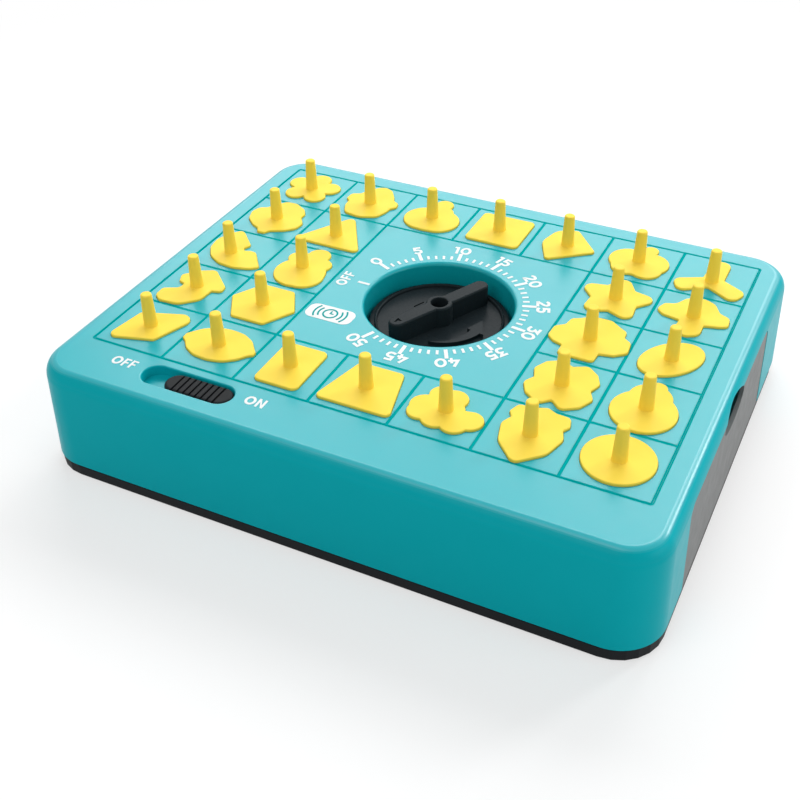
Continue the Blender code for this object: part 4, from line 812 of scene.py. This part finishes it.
# Lit and shaded copies of the teal, chosen by face direction: the rim's stronger gloss is a painted highlight,
# and the fillet and walls lose gloss and get a lighter colour, painted light in place of that sheen.
# Each limit is the largest upward share of a face's normal.
TEAL = teal("teal_moulded", 0.28)
TEAL_LIT_AND_SHADED_COPIES = (
    (0.998, teal("teal_rim_painted_highlight", 0.55)),
    (0.86, teal("teal_edge_painted_light", 0.22, (0.001, 0.380, 0.436))),
    (0.76, teal("teal_bend_painted_light", 0.06, (0.001, 0.392, 0.448))),
    (0.30, teal("teal_wall_painted_light", 0.03, (0.001, 0.400, 0.456))),
)

# Colour, the colour that it drifts to, least and most roughness, grain and gloss
DEEP_TEAL = moulded("teal_paint", (0.001, 0.330, 0.335), (0.002, 0.340, 0.345), (0.60, 0.70), 0.06, 0.0)
YELLOW = moulded("yellow_moulded", (0.955, 0.706, 0.084), (0.962, 0.715, 0.090), (0.34, 0.40), 0.06, 0.04)
BLACK = moulded("black_moulded", (0.014, 0.016, 0.018), (0.017, 0.019, 0.021), (0.40, 0.46), 0.15, 0.05)
KNOB_BLACK = moulded("knob_moulded", (0.012, 0.018, 0.021), (0.015, 0.021, 0.024), (0.24, 0.30), 0.12, 0.03)
GREY = moulded("grey_moulded", (0.200, 0.205, 0.205), (0.210, 0.215, 0.215), (0.42, 0.52), 0.3, 0.05)
WHITE = moulded("white_moulded", (0.74, 0.74, 0.71), (0.72, 0.72, 0.69), (0.40, 0.50))
INK = moulded("white_ink", (0.84, 0.86, 0.86), (0.81, 0.83, 0.83), (0.50, 0.60), 0.2, 0.02)
STEEL = metal("drawn_steel", (0.55, 0.56, 0.58), (0.62, 0.63, 0.65), (0.26, 0.38))
BRASS = metal("rolled_brass", (0.72, 0.53, 0.22), (0.78, 0.59, 0.27), (0.24, 0.36))


# Housing


def drawer_front_outline(margin=0.0):
    half = DRAWER_FRONT_WIDTH / 2 + margin
    low = HOUSING_BOTTOM - (OVERRUN if margin else 0)
    high = DRAWER_FRONT_TOP + margin
    radius = DRAWER_FRONT_CORNER + margin
    near = DRAWER_Y - half
    far = DRAWER_Y + half
    return rounded([(near, low, 0), (far, low, 0), (far, high, radius), (near, high, radius)])


def notch_mesh(left, right, margin=0.0):
    """The finger notch, an ellipse across the drawer's top edge."""
    radii = (NOTCH_LENGTH / 2 + margin, NOTCH_HEIGHT / 2 + margin)
    outline = ellipse((NOTCH_Y, DRAWER_FRONT_TOP - NOTCH_RISE), radii, MIDDLE_SIDES)
    return bar_along_x(outline, left, right)


def wall_lean(height):
    """How far the outer walls have come inwards at a height."""
    return DRAFT * (height - HOUSING_BOTTOM) / (BODY_TOP - TOP_FILLET - HOUSING_BOTTOM)


def make_housing():
    low = HOUSING_BOTTOM - OVERRUN
    edge = BODY_TOP - TOP_FILLET
    loops = [(BOTTOM_EDGE_ROUND, HOUSING_BOTTOM), (0, HOUSING_BOTTOM + BOTTOM_EDGE_ROUND), (DRAFT, edge)]
    for inward, upward in quarter(FILLET_STEPS):
        loops.append((DRAFT + (TOP_FILLET - DRAFT) * inward, edge + TOP_FILLET * upward))
    shell = solid("housing_shell", stack([(body_loop(inset), height) for inset, height in loops]))
    carve(shell, slab(body_loop(HOUSING_WALL), low, BODY_TOP - TOP_THICKNESS))
    x = WIDTH / 2 - BOSS_CORNER_INSET
    y = DEPTH / 2 - BOSS_CORNER_INSET
    places = [(-x, -y), (-x, y), (x, -y), (x, y)]
    bosses = [cylinder(BOSS_RADIUS, HOUSING_BOTTOM, edge, spot, SMALL_SIDES) for spot in places]
    carve(shell, merged(bosses), "UNION")
    pilot_top = HOUSING_BOTTOM + PILOT_DEPTH
    pilots = [cylinder(PILOT_RADIUS, low, pilot_top, spot, PILOT_SIDES) for spot in places]
    carve(shell, merged(pilots))
    carve(shell, flared(tray_outline(GAP), BODY_TOP - TOP_THICKNESS - OVERRUN, BODY_TOP, TRAY_EDGE_ROUND))
    sunk = BODY_TOP - SLOT_DEPTH
    centre = (SLOT_X, SLOT_Y)
    boss = stadium(SLOT_LENGTH + 2 * SLOT_BOSS_MARGIN, SLOT_WIDTH + 2 * SLOT_BOSS_MARGIN, centre)
    carve(shell, slab(boss, sunk - SLOT_FLOOR, BODY_TOP - TOP_THICKNESS / 2), "UNION")
    carve(shell, flared(stadium(SLOT_LENGTH, SLOT_WIDTH, centre), sunk, BODY_TOP, SLOT_LIP_ROUND))
    slit_width = 2 * (STEM_RADIUS + GAP)
    slit = stadium(slit_width + SWITCH_TRAVEL, slit_width, centre)
    carve(shell, slab(slit, sunk - SLOT_FLOOR - OVERRUN, sunk + OVERRUN))
    side = WIDTH / 2
    carve(shell, bar_along_x(drawer_front_outline(GAP), side - TOP_FILLET, side + OVERRUN))
    carve(shell, notch_mesh(side - HOUSING_WALL - OVERRUN, side + OVERRUN))
    border_top = BODY_TOP - LINE_DEPTH + PAINT_THICKNESS
    border_bottom = border_top - BORDER_DEPTH
    carve(shell, slab(tray_outline(LINE_WIDTH / 2), border_bottom, BODY_TOP + OVERRUN))
    dress(shell, TEAL, "case", "teal_plastic", "housing")
    # Each face gets the lit or shaded copy of the teal for how far it faces up: painted highlight and painted
    # light.
    for limit, material in TEAL_LIT_AND_SHADED_COPIES:
        shell.data.materials.append(material)
    for face in shell.data.polygons:
        face.material_index = sum(abs(face.normal.z) < limit for limit, material in TEAL_LIT_AND_SHADED_COPIES)
    border = solid("tray_border", slab(tray_outline(LINE_WIDTH / 2), border_bottom, border_top))
    carve(border, slab(tray_outline(BORDER_GAP), border_bottom - OVERRUN, BODY_TOP))
    dress(border, DEEP_TEAL, "case", "teal_plastic")


# Tray


def pocket_cutters():
    cutters = []
    for name, centre in CENTRES.items():
        outline = [centre + point for point in piece_outline(name, POCKET_GAP)]
        cutters.append(slab(outline, BODY_TOP - POCKET_DEPTH, BODY_TOP + OVERRUN))
    return merged(cutters)


def grid_mesh(name, margin, width, bottom, top):
    """The lattice of the grid's lines, open in each cell with a piece and where the dial lies."""
    lattice = solid(name, slab(tray_outline(margin), bottom, top))
    openings = []
    for centre, size in [*((centre, CELL) for centre in CENTRES.values()), (AXIS, DIAL_CELLS * CELL)]:
        half = Vector((size / 2 - width / 2, size / 2 - width / 2))
        openings.append(slab(rectangle(centre - half, centre + half), bottom - OVERRUN, top + OVERRUN))
    return carve(lattice, merged(openings))


def tray_tabs():
    """Tabs under the housing's top that stop the tray when it has risen."""
    half = Vector((COLUMNS * CELL / 2, ROWS * CELL / 2))
    long = TAB_LENGTH / 2
    low = SKIRT_BOTTOM
    top = SKIRT_BOTTOM + TAB_HEIGHT
    tabs = []
    for share in TAB_WAY_SHARES:
        x = share * half.x
        y = GRID_Y + share * half.y
        for side in (-1, 1):
            near, far = sorted((side * (half.x - SEAM), side * (half.x + TAB_REACH)))
            tabs.append(block((near, y - long, low), (far, y + long, top)))
            near, far = sorted((side * (half.y - SEAM), side * (half.y + TAB_REACH)))
            tabs.append(block((x - long, GRID_Y + near, low), (x + long, GRID_Y + far, top)))
    return tabs


def make_tray():
    line_floor = BODY_TOP - LINE_DEPTH
    plate = solid("tray_plate", rounded_top(tray_outline(), SKIRT_BOTTOM, BODY_TOP, TRAY_EDGE_ROUND))
    carve(plate, slab(tray_outline(-SKIRT_WALL), SKIRT_BOTTOM - OVERRUN, BODY_TOP - TRAY_PLATE))
    carve(plate, cylinder(WELL_RADIUS + WELL_WALL, WELL_BOTTOM, BODY_TOP - TRAY_PLATE + SEAM, AXIS), "UNION")
    carve(plate, merged(tray_tabs()), "UNION")
    well = circle(WELL_RADIUS, AXIS)
    carve(plate, flared(well, WELL_BOTTOM - OVERRUN, BODY_TOP, WELL_RIM_ROUND, FINE_STEPS))
    groove = grid_mesh("groove", OVERRUN, LINE_WIDTH, line_floor, BODY_TOP + OVERRUN)
    cutter = bmesh.new()
    cutter.from_mesh(groove.data)
    bpy.data.objects.remove(groove, do_unlink=True)
    carve(plate, cutter)
    carve(plate, pocket_cutters())
    dress(plate, TEAL, "tray", "teal_plastic", "tray")
    paint_top = line_floor + PAINT_THICKNESS
    lines = grid_mesh("grid_lines", -BORDER_GAP, LINE_WIDTH - BORDER_GAP, line_floor, paint_top)
    carve(lines, pocket_cutters())
    dress(lines, DEEP_TEAL, "tray", "teal_plastic")


# Shape pieces


def piece_solid(name, centre):
    """A plate with a rounded upper edge and a tapered, round-topped peg standing on it."""
    outline = [centre + point for point in piece_outline(name)]
    top = BODY_TOP + PIECE_PROUD
    loops = edge_loops(outline, BODY_TOP - POCKET_DEPTH + GAP, top, PIECE_EDGE_ROUND, -1)
    peg_centre = centre + Vector(PEG_PLACE_SHARES.get(name, (0, 0))) * PIECE_UNIT
    peg = []
    for inward, upward in quarter(ROUND_STEPS, 0):
        peg.append((PEG_BASE_RADIUS + PEG_FOOT_ROUND * (1 - upward), top + PEG_FOOT_ROUND * inward))
    for inward, upward in quarter(2 * ROUND_STEPS, 0):
        height = OVERALL_HEIGHT - PEG_ROUNDING + PEG_ROUNDING * upward
        peg.append((PEG_TOP_RADIUS - PEG_ROUNDING * inward, height))
    mesh = bmesh.new()
    rings = corner_rings(mesh, loops)
    mesh.faces.new(reversed(rings[0]))
    bridge(mesh, rings)
    posts = corner_rings(mesh, [(circle(radius, peg_centre, SMALL_SIDES), height) for radius, height in peg])
    bridge(mesh, posts)
    mesh.faces.new(posts[-1])
    border = [edge for edge in mesh.edges if len(edge.link_faces) == 1]
    bmesh.ops.triangle_fill(mesh, use_beauty=True, edges=border, normal=(0, 0, 1))
    return mesh


def make_pieces():
    for name, centre in CENTRES.items():
        piece = solid(f"{name}_piece", piece_solid(name, centre))
        dress(piece, YELLOW, name, "yellow_plastic", f"piece_{name}")


# Knob


def make_knob():
    web_bottom = KNOB_FACE - KNOB_WEB
    inner = KNOB_RADIUS - KNOB_SKIRT_WALL
    edge_low = KNOB_FACE - KNOB_EDGE_ROUND
    profile = [(inner, KNOB_SKIRT_BOTTOM), (KNOB_RADIUS, KNOB_SKIRT_BOTTOM), (KNOB_RADIUS, edge_low)]
    for inward, upward in quarter(EDGE_STEPS):
        profile.append((KNOB_RADIUS - KNOB_EDGE_ROUND * inward, edge_low + KNOB_EDGE_ROUND * upward))
    for turn in ramp(0, pi, FINE_STEPS):
        radius = RING_RADIUS + RING_WIDTH / 2 * cos(turn)
        profile.append((radius, KNOB_FACE + RING_HEIGHT * sin(turn)))
    disc = solid("knob_dial", lathe(profile))
    carve(disc, cylinder(inner, KNOB_SKIRT_BOTTOM - OVERRUN, web_bottom, AXIS))
    carve(disc, cylinder(KNOB_HUB_RADIUS, KNOB_HUB_BOTTOM, web_bottom + SEAM, AXIS, MIDDLE_SIDES), "UNION")
    grip = stadium(GRIP_LENGTH, GRIP_WIDTH, AXIS, POINTER_DIRECTION, GRIP_END_STEPS)
    for outline in (grip, circle(GRIP_HUB_RADIUS, AXIS, GRIP_HUB_SIDES)):
        carve(disc, rounded_top(outline, KNOB_FACE - SEAM, BODY_TOP, GRIP_EDGE_ROUND), "UNION")
    carve(disc, arrow_mesh(), "UNION")
    socket_low = KNOB_HUB_BOTTOM - OVERRUN
    passage_low = SHAFT_SOCKET_TOP - SEAM
    for cutter in (
        cylinder(SHAFT_SOCKET_RADIUS, socket_low, SHAFT_SOCKET_TOP, AXIS, MIDDLE_SIDES),
        cylinder(SCREW_PASSAGE_RADIUS, passage_low, KNOB_FACE + SEAM, AXIS, SMALL_SIDES),
        flared(circle(GRIP_HOLE_RADIUS, AXIS, MIDDLE_SIDES), KNOB_FACE, BODY_TOP, GAP),
        pointer_mesh(),
        dash_mesh(),
    ):
        carve(disc, cutter)
    dress(disc, KNOB_BLACK, "knob", "knob_plastic", "timer_knob")


def arrow_mesh():
    """A raised curved arrow on the disc that shows which way to wind."""
    turns = ramp(ARROW_START, ARROW_NECK - ARROW_START, ARROW_STEPS)
    halves = ramp(0, ARROW_WIDTH / 2, ARROW_STEPS)
    inner = [polar(ARROW_RADIUS - half, turn, AXIS) for half, turn in zip(halves, turns)]
    outer = [polar(ARROW_RADIUS + half, turn, AXIS) for half, turn in zip(halves, turns)]
    corners = ((ARROW_HEAD_WIDTH / 2, ARROW_NECK), (0, ARROW_TIP), (-ARROW_HEAD_WIDTH / 2, ARROW_NECK))
    head = [polar(ARROW_RADIUS + aside, turn, AXIS) for aside, turn in corners]
    return slab(outer + head + inner[:0:-1], KNOB_FACE - SEAM, KNOB_FACE + ARROW_HEIGHT)


def pointer_mesh():
    """The triangle sunk into the grip's pointing end."""
    ahead = polar(1, POINTER_DIRECTION)
    aside = Vector((-ahead.y, ahead.x)) * POINTER_WIDTH / 2
    tip = AXIS + ahead * POINTER_REACH
    back = AXIS + ahead * (POINTER_REACH - POINTER_LENGTH)
    return slab([tip, back + aside, back - aside], BODY_TOP - POINTER_DEPTH, BODY_TOP + OVERRUN)


def dash_mesh():
    """A short line sunk into the disc beside the grip."""
    centre = polar(DASH_REACH, DASH_ANGLE, AXIS)
    outline = stadium(DASH_LENGTH, DASH_WIDTH, centre, DASH_TURN, FINE_STEPS)
    return slab(outline, KNOB_FACE - POINTER_DEPTH, KNOB_FACE + SEAM)


# Switch


def make_switch():
    centre = (BUTTON_X, SLOT_Y)
    bottom = BODY_TOP - SLOT_DEPTH + GAP
    outline = stadium(BUTTON_LENGTH, BUTTON_WIDTH, centre)
    cap = solid("switch_cap", rounded_top(outline, bottom, BUTTON_TOP, BUTTON_ROUND, EDGE_STEPS))
    low = BUTTON_TOP - GROOVE_DEPTH
    grooves = []
    for k in range(GROOVES):
        x = BUTTON_X + (k - (GROOVES - 1) / 2) * GROOVE_PITCH
        near = (x - GROOVE_WIDTH / 2, SLOT_Y - BUTTON_WIDTH / 2 - OVERRUN, low)
        far = (x + GROOVE_WIDTH / 2, SLOT_Y + BUTTON_WIDTH / 2 + OVERRUN, BUTTON_TOP + OVERRUN)
        grooves.append(block(near, far))
    carve(cap, merged(grooves))
    carve(cap, cylinder(STEM_RADIUS, STEM_BOTTOM, bottom + SEAM, centre, SMALL_SIDES), "UNION")
    dress(cap, BLACK, "switch", "black_plastic", "switch_button")


# Drawer


def make_drawer():
    half = DRAWER_BOX_WIDTH / 2
    front_left = DRAWER_FACE - DRAWER_FRONT_THICKNESS
    near = (DRAWER_BOX_LEFT, DRAWER_Y - half, HOUSING_BOTTOM)
    far = (front_left + SEAM, DRAWER_Y + half, DRAWER_BOX_TOP)
    drawer = solid("drawer_body", block(near, far))
    wall = DRAWER_WALL
    low = (DRAWER_BOX_LEFT + wall, DRAWER_Y - half + wall)
    high = (front_left - wall, DRAWER_Y + half - wall)
    carve(drawer, slab(rectangle(low, high, wall), HOUSING_BOTTOM + wall, DRAWER_BOX_TOP + OVERRUN))
    carve(drawer, bar_along_x(drawer_front_outline(), front_left, DRAWER_FACE + OVERRUN), "UNION")
    heights = (HOUSING_BOTTOM - OVERRUN, BODY_TOP)
    faces = [rectangle((DRAWER_FACE - wall_lean(height), -DEPTH), (WIDTH, DEPTH)) for height in heights]
    carve(drawer, stack(zip(faces, heights)))
    carve(drawer, notch_mesh(front_left - OVERRUN, WIDTH / 2 + OVERRUN))
    carve(drawer, notch_mesh(front_left - OVERRUN, DRAWER_FACE - DRAFT - NOTCH_LIP, NOTCH_HOLLOW))
    dress(drawer, GREY, "drawer", "grey_plastic", "storage_drawer")


# Markings


def ribbon(points, width, bottom, top, closed=False):
    """A flat stroke through points."""
    count = len(points)
    sides = count if closed else count - 1
    ways = [(points[(i + 1) % count] - points[i]).normalized() for i in range(sides)]
    normals = [Vector((-way.y, way.x)) for way in ways]
    left = []
    right = []
    for i, here in enumerate(points):
        near = [normals[j] for j in (i - 1, i) if closed or 0 <= j < sides]
        middle = sum(near, Vector((0, 0))).normalized()
        reach = width / 2 / max(STROKE_MITRE_LIMIT, middle.dot(near[0]))
        left.append(here + middle * reach)
        right.append(here - middle * reach)
    mesh = bmesh.new()
    rings = corner_rings(mesh, ((left, bottom), (right, bottom), (right, top), (left, top)))
    for i in range(sides):
        j = (i + 1) % count
        for a, b in zip(rings, rings[1:] + rings[:1]):
            mesh.faces.new((a[i], a[j], b[j], b[i]))
    if not closed:
        mesh.faces.new([ring[0] for ring in rings])
        mesh.faces.new([ring[-1] for ring in reversed(rings)])
    return mesh


def glyph_strokes(letter):
    """The kind and points of each stroke, in shares of the letter's height."""
    for kind, table in GLYPHS[letter][1]:
        points = [(x / GLYPH_SCALE, y / GLYPH_SCALE) for x, y in table]
        if kind == "loop":
            points = ellipse(*points, LETTER_SIDES)
        if kind == "bar":
            (x0, y0), (x1, y1) = points
            points = [(x0, y0), (x1, y0), (x1, y1), (x0, y1)]
        yield kind, points


def words(text, height, centre, up_angle):
    """Text centred on a point, its tops towards up_angle."""
    up_way = polar(1, up_angle)
    right_way = Vector((up_way.y, -up_way.x))
    widths = [GLYPHS[letter][0] / GLYPH_SCALE for letter in text]
    total = (sum(widths) + LETTER_GAP_SHARE * (len(text) - 1)) * height
    corner = Vector(centre) - right_way * total / 2 - up_way * height / 2
    meshes = []
    for letter, width in zip(text, widths):
        for kind, points in glyph_strokes(letter):
            outline = [corner + right_way * (x * height) + up_way * (y * height) for x, y in points]
            if kind in ("line", "loop"):
                meshes.append(ribbon(outline, STROKE_SHARE * height, *PRINT_LAYER, kind == "loop"))
            else:
                meshes.append(slab(outline, *PRINT_LAYER))
        corner = corner + right_way * (width + LETTER_GAP_SHARE) * height
    return meshes


def tick(angle, inner, outer, width):
    return ribbon([polar(inner, angle, AXIS), polar(outer, angle, AXIS)], width, *PRINT_LAYER)


def make_markings():
    marks = [tick(pi, *OFF_TICK)]
    for minute in range(LAST_MINUTE + 1):
        angle = ZERO_ANGLE + UNIT_ANGLE * minute
        numbered = minute % NUMBER_STEP == 0
        marks.append(tick(angle, *(LONG_TICK if numbered else SHORT_TICK)))
        if numbered:
            marks += words(str(minute), NUMBER_HEIGHT, polar(NUMBER_RADIUS, angle, AXIS), angle)
    marks += words("OFF", OFF_HEIGHT, polar(OFF_RADIUS, pi, AXIS), pi)
    dress(solid("dial_marks", merged(marks)), INK, "tray", "white_plastic")
    marks = []
    for word, place in WORD_PLACES.items():
        marks += words(word, WORD_HEIGHT, place, pi / 2)
    dress(solid("switch_marks", merged(marks)), INK, "case", "white_plastic")
    centre = Vector(BADGE_CENTRE)
    half = Vector(BADGE_SIZE) / 2
    badge = slab(rectangle(centre - half, centre + half, BADGE_CORNER), *PRINT_LAYER)
    dress(solid("dial_badge", badge), INK, "tray", "white_plastic")
    dress(solid("badge_clock", merged(clock_meshes(centre))), DEEP_TEAL, "tray", "teal_plastic")


def clock_meshes(centre):
    """A plain clock face with two hands, and two arcs at each side, on the badge."""
    layer = [height + PRINT_THICKNESS for height in PRINT_LAYER]
    meshes = [ribbon(circle(CLOCK_RADIUS, centre, MIDDLE_SIDES), CLOCK_STROKE, *layer, True)]
    hands = [centre + Vector(share) * CLOCK_RADIUS for share in CLOCK_HANDS_SHARES]
    meshes.append(ribbon(hands, HAND_STROKE, *layer))
    for radius in WAVE_RADII:
        for side in (0, pi):
            turns = ramp(side - WAVE_SPREAD, WAVE_SPREAD * 2, WAVE_STEPS)
            meshes.append(ribbon([polar(radius, turn, centre) for turn in turns], CLOCK_STROKE, *layer))
    return meshes


# Springs, screws and the parts of the movement


def make_springs():
    steps = SPRING_TURNS * SPRING_STEPS
    turns = ramp(0, 2 * pi * SPRING_TURNS, steps)
    heights = ramp(SPRING_LOW, SPRING_HIGH - SPRING_LOW, steps)
    round_wire = [(cos(turn), sin(turn)) for turn in ramp(0, 2 * pi, WIRE_SIDES)[:-1]]
    for number, centre in enumerate(SPRING_PLACES, 1):
        mesh = bmesh.new()
        rings = []
        for turn, height in zip(turns, heights):
            out = polar(1, turn)
            middle = Vector((*(Vector(centre) + out * SPRING_RADIUS), height))
            sides = [Vector((*(out * outward), upward)) * SPRING_WIRE for outward, upward in round_wire]
            rings.append([mesh.verts.new(middle + side) for side in sides])
        bridge(mesh, rings)
        mesh.faces.new(rings[0])
        mesh.faces.new(reversed(rings[-1]))
        coil = solid(f"lift_spring_{number}", mesh)
        finish(coil, STEEL)
        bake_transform(coil)
        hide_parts(f"tray_spring_{number}")


def make_mainspring():
    steps = MAINSPRING_TURNS * MAINSPRING_STEPS
    radii = ramp(MAINSPRING_INNER, MAINSPRING_OUTER - MAINSPRING_INNER, steps)
    turns = ramp(0, 2 * pi * MAINSPRING_TURNS, steps)
    inner = [polar(radius, turn, AXIS) for radius, turn in zip(radii, turns)]
    outer = [polar(radius + MAINSPRING_STRIP, turn, AXIS) for radius, turn in zip(radii, turns)]
    strip = solid("mainspring_strip", slab(outer + inner[::-1], MAINSPRING_BOTTOM, MAINSPRING_TOP))
    dress(strip, STEEL, "case", "steel", "mainspring")


def make_screw(node, body):
    """A round-edged cross-slot screw in the place of a solid one."""
    low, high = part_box(node)
    centre = ((low.x + high.x) / 2, (low.y + high.y) / 2)
    head = (high.x - low.x) / 2
    up = node.startswith("base_screw")
    face, end, way = (low.z, high.z, 1) if up else (high.z, low.z, -1)
    under = face + way * SCREW_HEAD_HEIGHT
    shank = SCREW_SHANK_RADIUS
    profile = [
        (head - SCREW_EDGE, face), (head, face + way * SCREW_EDGE), (head, under),
        (shank, under), (shank, end - way * shank), (SCREW_TIP_RADIUS, end),
    ]
    item = solid(f"{node}_turned", lathe(profile if up else profile[::-1], centre, SMALL_SIDES))
    for turn in (0, pi / 2):
        arm = polar(head * CROSS_LENGTH_SHARE / 2, turn)
        ends = [Vector(centre) - arm, Vector(centre) + arm]
        carve(item, ribbon(ends, head * CROSS_WIDTH_SHARE, face - CROSS_DEPTH, face + CROSS_DEPTH))
    dress(item, STEEL, body, "steel", node)


def dress_nodes():
    """The solids that stay get their finish."""
    finishes = {
        "base_plate": BLACK, "timer_bottom_plate": STEEL, "timer_top_plate": STEEL, "timer_shaft": STEEL,
        "pallet_lever": STEEL, "main_gear": BRASS, "second_wheel": BRASS, "escape_wheel": BRASS,
        "release_cam": WHITE, "latch_lever": WHITE, "stop_lever": WHITE,
    }
    for name, material in finishes.items():
        finish(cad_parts[name], material)


# Camera, floor and light


def make_camera():
    camera = placed(
        "camera", bpy.data.cameras.new("camera"), lens=FOCAL_LENGTH, sensor_width=SENSOR_WIDTH,
        shift_x=SHIFT, clip_start=CLIP_START, clip_end=CLIP_END,
    )
    tilt = pi / 2 - CAMERA_ELEVATION
    turn = Matrix.Rotation(CAMERA_AZIMUTH, 4, "Z") @ Matrix.Rotation(tilt, 4, "X")
    turn = turn @ Matrix.Rotation(CAMERA_ROLL, 4, "Z")
    camera.matrix_world = Matrix.Translation(CAMERA_PLACE) @ turn
    bpy.context.scene.camera = camera


def white_to_eye(tree, dim, bright):
    """Mixes dim and bright shaders: bright where the eye, a reflection or a clear body looks."""
    rays = add(tree, "LightPath")
    direct = add(tree, "Math", {0: rays["Is Camera Ray"], 1: rays["Is Glossy Ray"]}, operation="MAXIMUM")
    looked = add(tree, "Math", {0: direct[0], 1: rays["Is Transmission Ray"]}, operation="MAXIMUM")
    return add(tree, "MixShader", {"Fac": looked[0], 1: dim, 2: bright})["Shader"]


def bare_tree(owner):
    """The empty node tree of a new world or material."""
    owner.use_nodes = True
    owner.node_tree.nodes.clear()
    return owner.node_tree


def make_world():
    world = bpy.data.worlds.new("surroundings")
    bpy.context.scene.world = world
    tree = bare_tree(world)
    lights = [{"Color": (1, 1, 1, 1), "Strength": power} for power in (AMBIENT, 1)]
    dim, bright = [add(tree, "Background", light)[0] for light in lights]
    add(tree, "OutputWorld", {"Surface": white_to_eye(tree, dim, bright)})


def make_floor():
    """A pale floor that keeps the object's shadow and turns white further out."""
    mesh = bmesh.new()
    corners = rectangle((-FLOOR_REACH, -FLOOR_REACH), (FLOOR_REACH, FLOOR_REACH))
    mesh.faces.new([mesh.verts.new((*corner, -GAP)) for corner in corners])
    floor = solid("floor", mesh)
    paper = bpy.data.materials.new("pale_floor")
    tree = bare_tree(paper)
    tones = [(shade, shade, shade, 1) for shade in (FLOOR_COLOUR, FLOOR_SEEN_COLOUR)]
    matt, seen = [add(tree, "BsdfDiffuse", {"Color": tone})[0] for tone in tones]
    glow, white = [add(tree, "Emission", {"Strength": power})[0] for power in (FLOOR_GLOW, 1)]
    near = add(tree, "AddShader", {0: seen, 1: glow})[0]
    reach = add(tree, "VectorMath", {0: add(tree, "TexCoord")["Object"]}, operation="LENGTH")["Value"]
    fade = {"Value": reach, "From Min": FLOOR_NEAR, "From Max": FLOOR_FAR}
    share = add(tree, "MapRange", fade, interpolation_type="SMOOTHSTEP")["Result"]
    backdrop = add(tree, "MixShader", {"Fac": share, 1: near, 2: white})[0]
    add(tree, "OutputMaterial", {"Surface": white_to_eye(tree, matt, backdrop)})
    floor.data.materials.append(paper)


def make_lamps():
    for name, place, (size, size_y), power in LAMPS:
        data = bpy.data.lights.new(name, "AREA")
        item = placed(name, data, shape="RECTANGLE", size=size, size_y=size_y, energy=power)
        item.location = place
        item.rotation_euler = (Vector(LAMP_AIM) - Vector(place)).to_track_quat("-Z", "Y").to_euler()


make_camera()
make_world()
make_floor()
make_lamps()
make_housing()
make_tray()
make_pieces()
make_knob()
make_switch()
make_drawer()
make_markings()
make_springs()
make_mainspring()
for node_name in sorted(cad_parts):
    if "screw" in node_name:
        make_screw(node_name, "knob" if node_name == "knob_screw" else "case")
dress_nodes()
bpy.context.scene.view_settings.view_transform = "Standard"
